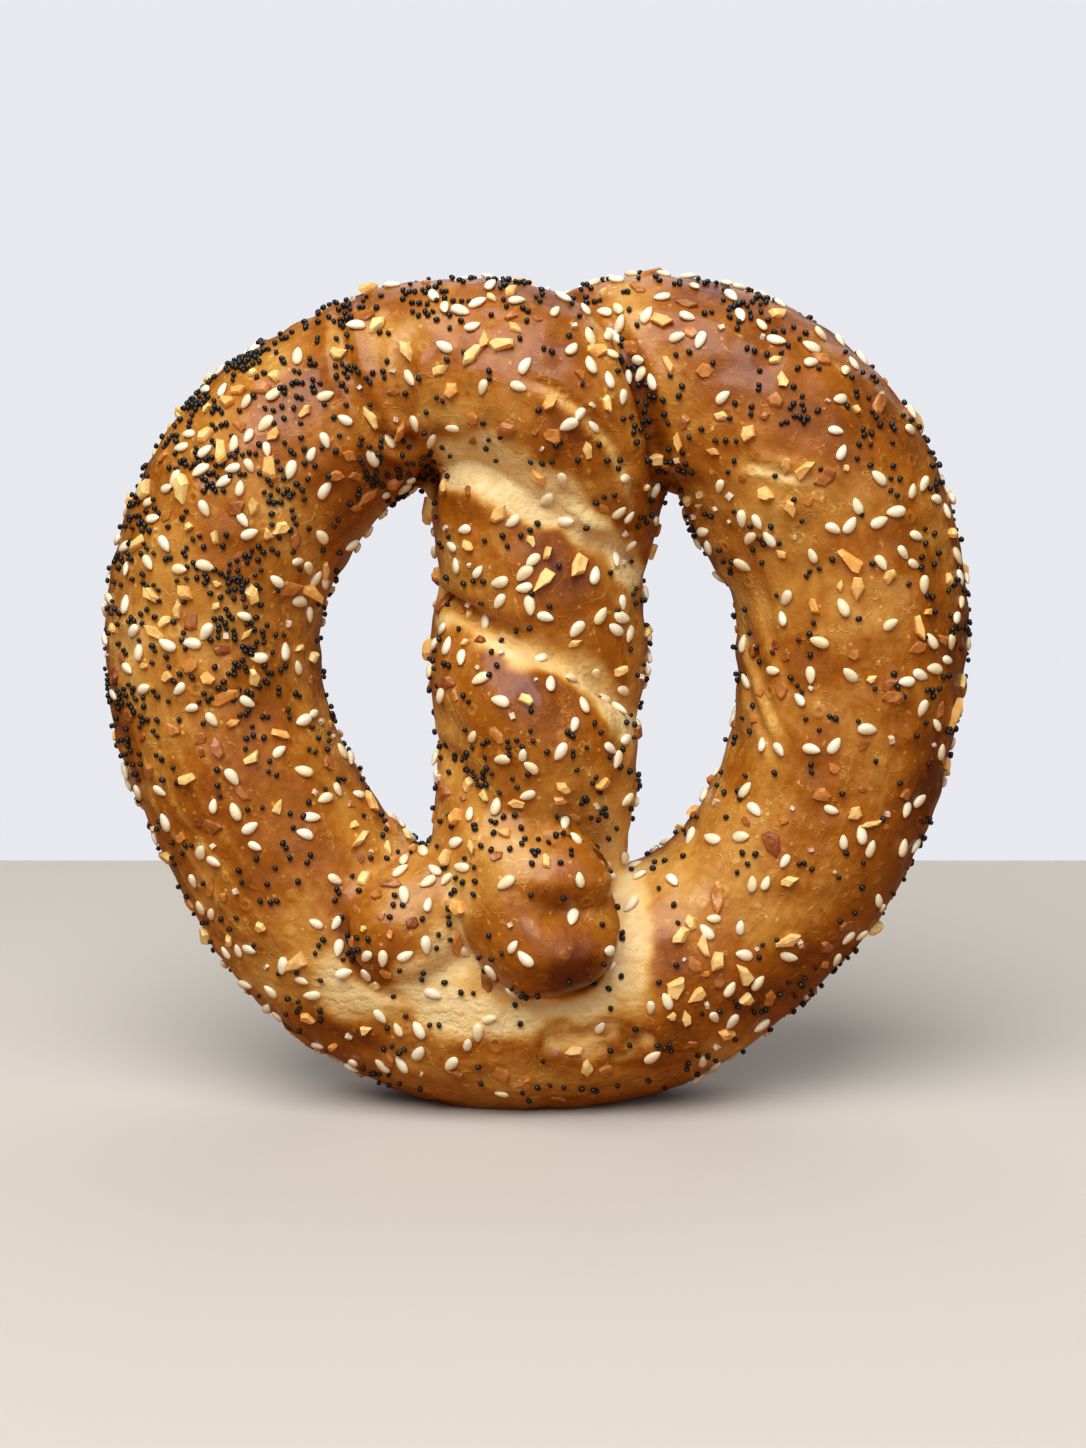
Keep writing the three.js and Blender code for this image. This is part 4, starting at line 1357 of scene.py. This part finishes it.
def onion(count, long, rng):
    """Onion: chips of random lengths. Their shapes and the faces of one."""
    size = halves(count, rng, (long, long * ONION_WIDTH, ONION_THICK), ONION_VARIES)
    size[:, 0] *= rng.uniform(*ONION_STRETCH, count)
    shapes = chips(count, rng, ONION_CORNERS, ONION_CURL) * size[:, None]
    return shapes, lathe_faces(len(CHIP_LEVELS), ONION_CORNERS)


def sesame(count, long, rng):
    """Sesame: flat drops. Their shapes and the faces of one."""
    size = halves(count, rng, (long, long * SESAME_WIDTH, long * SESAME_THICK), SESAME_VARIES)
    return drops(count, rng, *SESAME_GRID, *SESAME_ENDS) * size[:, None], lathe_faces(*SESAME_GRID)


def salt(count, long, rng):
    """Salt: crystals. Their shapes and the faces of one."""
    size = halves(count, rng, (long, long * SALT_WIDTH, long), SALT_VARIES)
    return crystals(count, rng) * size[:, None], lathe_faces(*SALT_GRID)


def poppy(count, long, rng):
    """Poppy: small round drops. Their shapes and the faces of one."""
    size = halves(count, rng, (long, long * POPPY_WIDTH, long * POPPY_WIDTH), POPPY_VARIES)
    return drops(count, rng, *POPPY_GRID, *POPPY_ENDS) * size[:, None], lathe_faces(*POPPY_GRID)


SHAPES = {"garlic": garlic, "onion": onion, "sesame": sesame, "salt": salt, "poppy": poppy}


def scattered(surface, weight, count, apart, taken, rng):
    """Places on a surface, by area times weight, none near one that came before it: points and normals."""
    chance = surface["area"] * weight
    draw = rng.choice(len(chance), count * TRIES, p=chance / chance.sum())
    share = rng.dirichlet((1.0, 1.0, 1.0), len(draw))[:, :, None]
    points = (surface["corners"][draw] * share).sum(1)
    normals = unit((surface["normals"][draw] * share).sum(1))
    close = np.zeros(len(draw), bool)
    for other, room in taken:
        far = np.linalg.norm(points[:, None] - other[None], axis=2)
        close |= (far < room + apart / 2).any(1)
    points, normals = points[~close], normals[~close]
    far = np.linalg.norm(points[:, None] - points[None], axis=2)
    kept = ~np.tril(far < apart, -1).any(1)
    return points[kept][:count], normals[kept][:count]


def laid(shapes, points, normals, rng, tip, lift):
    """Shapes set on the crust: x and y along it by a random spin, tipped, and lifted along the normal."""
    count = len(points)
    across = unit(np.cross(normals, unit(rng.normal(size=(count, 3)))))
    along = np.cross(across, normals)
    lean = rng.uniform(-tip, tip, (count, 1))
    up = np.cos(lean) * normals + np.sin(lean) * along
    along = np.cross(across, up)
    axes = np.stack([along, across, up], axis=1)
    return np.einsum("nvk,nkj->nvj", shapes, axes) + (points + lift * normals)[:, None]


def surface_of(made):
    """The triangles of an object: corners and corner normals in millimetres, areas and middles."""
    mesh = made.data
    mesh.calc_loop_triangles()
    triangles = read(mesh.loop_triangles, "vertices", 3, np.int32)
    corners = read(mesh.vertices, "co", 3).astype(float)[triangles] / MM
    normals = read(mesh.vertex_normals, "vector", 3).astype(float)[triangles]
    cross = np.cross(corners[:, 1] - corners[:, 0], corners[:, 2] - corners[:, 0])
    pale = read(mesh.attributes["pale"].data, "value", 1)[triangles].mean(1)
    return {"corners": corners, "normals": normals, "area": np.linalg.norm(cross, axis=1) / 2,
            "middle": corners.mean(1), "facing": unit(normals.mean(1)), "pale": pale}


def put_many(name, shapes, faces):
    """One mesh of many shapes that all have the same faces."""
    count, size = shapes.shape[:2]
    shift = (np.arange(count) * size)[:, None, None]
    every = [(one[None] + shift).reshape(-1, one.shape[1]) for one in faces]
    return put_mesh(name, shapes.reshape(-1, 3), every)


def thickness_of(surface, lying):
    """How thick a topping lies: thicker in its patches and clumps, thinner on the back and on pale dough.

    Clumps are 1 plus waves, patches are ovals, and both count less where a face slants away from the front.
    """
    flat, facing = surface["middle"][:, [0, 2]], -surface["facing"][:, 1]
    square_on = np.clip(facing, LEAST_SQUARE, 1.0)
    more = sum(much * oval(flat, x, z, half, half) for x, z, half, much in lying.patches) * square_on
    clumps = waves(surface["middle"], (lying.uneven, CLUMP_LENGTH, lying.seed))
    base = np.where(facing > 0.0, between(square_on, (SLANT_SHARE, 1.0)), 1.0)
    base *= np.clip(1.0 + clumps, LEAST_CLUMP, None)
    much = base * np.clip(1.0 + more, LEAST_PATCH, 1.0) + np.maximum(more, 0.0)
    much *= between(smoothstep(facing, *BACK_SPAN), (BACK_SHARE, 1.0))
    return much * smoothstep(surface["middle"][:, 2], *BARE_FOOT) * (1.0 - BARE_PALE * surface["pale"])


class PRETZEL_OT_dough(bpy.types.Operator):
    """Shape the dough: fuse the rope's stretches, then press, fold and brown its crust, with painted light
    and shade
    """

    bl_idname = "pretzel.shape_dough"
    bl_label = "Shape Dough"

    def execute(self, context):
        """Makes the dough's mesh, moves its vertices, names their values and gives it its material."""
        settings = context.scene.pretzel_dough
        lines = ropes()
        dough = fused("dough", [swept(line) for line in lines], settings.grain)
        mesh = dough.data
        edges = read(mesh.edges, "vertices", 2, np.int32)
        places = smoothed(read(mesh.vertices, "co", 3).astype(float) / MM, edges, FUSED_PASSES)
        spot = on_ropes(places, lines)
        places = nudged(places)
        move_vertices(mesh, places)
        normals = read(mesh.vertex_normals, "vector", 3).astype(float)
        skin = skin_of(places, normals, spot, loop_span(lines[0]))
        out, pale, toast = shape_crust(skin, settings)
        places = smoothed(places + out[:, None] * normals, edges, SKIN_PASSES)
        places[:, 2] = np.maximum(places[:, 2], 0.0)
        move_vertices(mesh, places)
        mesh.shade_smooth()
        name_values(mesh, "pale", smoothed(pale[:, None], edges, PALE_PASSES))
        name_values(mesh, "seam", seams(skin.straight, places, edges))
        name_values(mesh, "toast", toast)
        name_values(mesh, "rope", skin.straight * MM, "FLOAT_VECTOR", "vector")
        mesh.materials.clear()
        mesh.materials.append(crust_material(settings))
        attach(dough, BODY)
        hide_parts(NODE)
        return {"FINISHED"}


class PRETZEL_OT_toppings(bpy.types.Operator):
    """Scatter sesame, poppy, garlic, onion and salt over the dough"""

    bl_idname = "pretzel.scatter_toppings"
    bl_label = "Scatter Toppings"

    def execute(self, context):
        """Scatters each topping in turn, clear of those before it, as one mesh with its own tints."""
        settings = context.scene.pretzel_toppings
        surface = surface_of(bpy.data.objects["dough"])
        rng = np.random.default_rng(RANDOM_SEED)
        group = topping_group()
        taken = []
        for name, lying in TOPPINGS.items():
            wanted, long = getattr(settings, name + "_count"), getattr(settings, name + "_length") / MM
            weight = thickness_of(surface, lying)
            points, normals = scattered(surface, weight, wanted, lying.apart, taken, rng)
            taken.append((points, lying.room))
            shapes, faces = SHAPES[name](len(points), long, rng)
            made = put_many(name, laid(shapes, points, normals, rng, lying.tip, lying.lift), faces)
            if lying.smooth:
                made.data.shade_smooth()
            tint = np.clip(rng.beta(*TINT_SPREAD, len(points)), 0.0, 1.0)
            name_values(made.data, "tint", np.repeat(tint, shapes.shape[1]))
            light, dark = getattr(settings, name + "_light"), getattr(settings, name + "_dark")
            made.data.materials.append(topping_material(name, group, light, dark, lying.roughness))
            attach(made, BODY)
        return {"FINISHED"}


def put_light(name, power, size, at, to):
    """A square lamp of a size at a place, turned to another place."""
    data = bpy.data.lights.new(name, "AREA")
    data.energy, data.size = power, size
    made = bpy.data.objects.new(name, data)
    bpy.context.scene.collection.objects.link(made)
    aim = np.array(to) - np.array(at)
    made.location = at
    flat = math.hypot(aim[0], aim[1])
    made.rotation_euler = (math.atan2(flat, -aim[2]), 0.0, math.atan2(-aim[0], aim[1]))


def put_air(scene, settings):
    """The scene's world: the wall's colour where the camera sees it, and the air's light elsewhere."""
    world = bpy.data.worlds.new("air")
    world.use_nodes = True
    tree = world.node_tree
    tree.nodes.clear()
    lit = {"Color": (*settings.air, 1.0), "Strength": settings.air_strength}
    air = put(tree, "ShaderNodeBackground", lit)
    wall = put(tree, "ShaderNodeBackground", {"Color": (*settings.wall, 1.0)})
    seen = put(tree, "ShaderNodeLightPath").outputs["Is Camera Ray"]
    shown = put(tree, "ShaderNodeMixShader", {0: seen, 1: air.outputs[0], 2: wall.outputs[0]})
    put(tree, "ShaderNodeOutputWorld", {"Surface": shown.outputs[0]})
    scene.world = world


def put_camera(scene, settings):
    """The scene's camera: in front of its aim, raised by its elevation and looking down by as much."""
    lens = bpy.data.cameras.new("camera")
    lens.lens = settings.lens
    camera = bpy.data.objects.new("camera", lens)
    scene.collection.objects.link(camera)
    back = np.array([0.0, -math.cos(settings.elevation), math.sin(settings.elevation)])
    camera.location = np.array(settings.aim) + settings.distance * back
    camera.rotation_euler = (math.pi / 2 - settings.elevation, 0.0, 0.0)
    scene.camera = camera


class PRETZEL_OT_stage(bpy.types.Operator):
    """Set the floor, the lights and the camera"""

    bl_idname = "pretzel.set_stage"
    bl_label = "Set Stage"

    def execute(self, context):
        """Makes the floor, the lights, the world and the camera."""
        scene, settings = context.scene, context.scene.pretzel_stage
        wide, deep = FLOOR_HALF, settings.floor_ends / MM
        corners = np.array([[-wide, -wide, 0.0], [wide, -wide, 0.0], [wide, deep, 0.0], [-wide, deep, 0.0]])
        floor = put_mesh("floor", corners, [np.array([[0, 1, 2, 3]])])
        floor.data.materials.append(floor_material(settings))
        for name, (size, at) in LIGHTS.items():
            put_light(name, getattr(settings, name + "_power"), size, at, settings.aim)
        put_air(scene, settings)
        put_camera(scene, settings)
        scene.view_settings.view_transform = "Standard"
        return {"FINISHED"}


class PRETZEL_PT_panel(bpy.types.Panel):
    """The pretzel's steps and settings"""

    bl_idname = "PRETZEL_PT_panel"
    bl_label = "Soft Pretzel"
    bl_space_type = "VIEW_3D"
    bl_region_type = "UI"
    bl_category = "Pretzel"

    def draw(self, context):
        """Draws each group of settings in a box with the button of its step."""
        for key, _, step in STEPS:
            box = self.layout.box()
            settings = getattr(context.scene, key)
            for name in settings.__annotations__:
                box.prop(settings, name)
            box.operator(step)


# The steps in order: the scene's key for the settings, their group and the operator.
STEPS = (
    ("pretzel_dough", PretzelDough, "pretzel.shape_dough"),
    ("pretzel_toppings", PretzelToppings, "pretzel.scatter_toppings"),
    ("pretzel_stage", PretzelStage, "pretzel.set_stage"),
)
CLASSES = (PretzelDough, PretzelToppings, PretzelStage, PRETZEL_OT_dough, PRETZEL_OT_toppings,
           PRETZEL_OT_stage, PRETZEL_PT_panel)


def register():
    """Registers the classes and gives scenes their settings."""
    for one in CLASSES:
        bpy.utils.register_class(one)
    for key, group, _ in STEPS:
        setattr(bpy.types.Scene, key, bpy.props.PointerProperty(type=group))


def unregister():
    """Takes the settings from scenes and unregisters the classes."""
    for key, _, _ in STEPS:
        delattr(bpy.types.Scene, key)
    for one in reversed(CLASSES):
        bpy.utils.unregister_class(one)


def main():
    """Registers the add-on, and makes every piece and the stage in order."""
    register()
    bpy.ops.pretzel.shape_dough()
    bpy.ops.pretzel.scatter_toppings()
    bpy.ops.pretzel.set_stage()


if __name__ == "__main__":
    main()
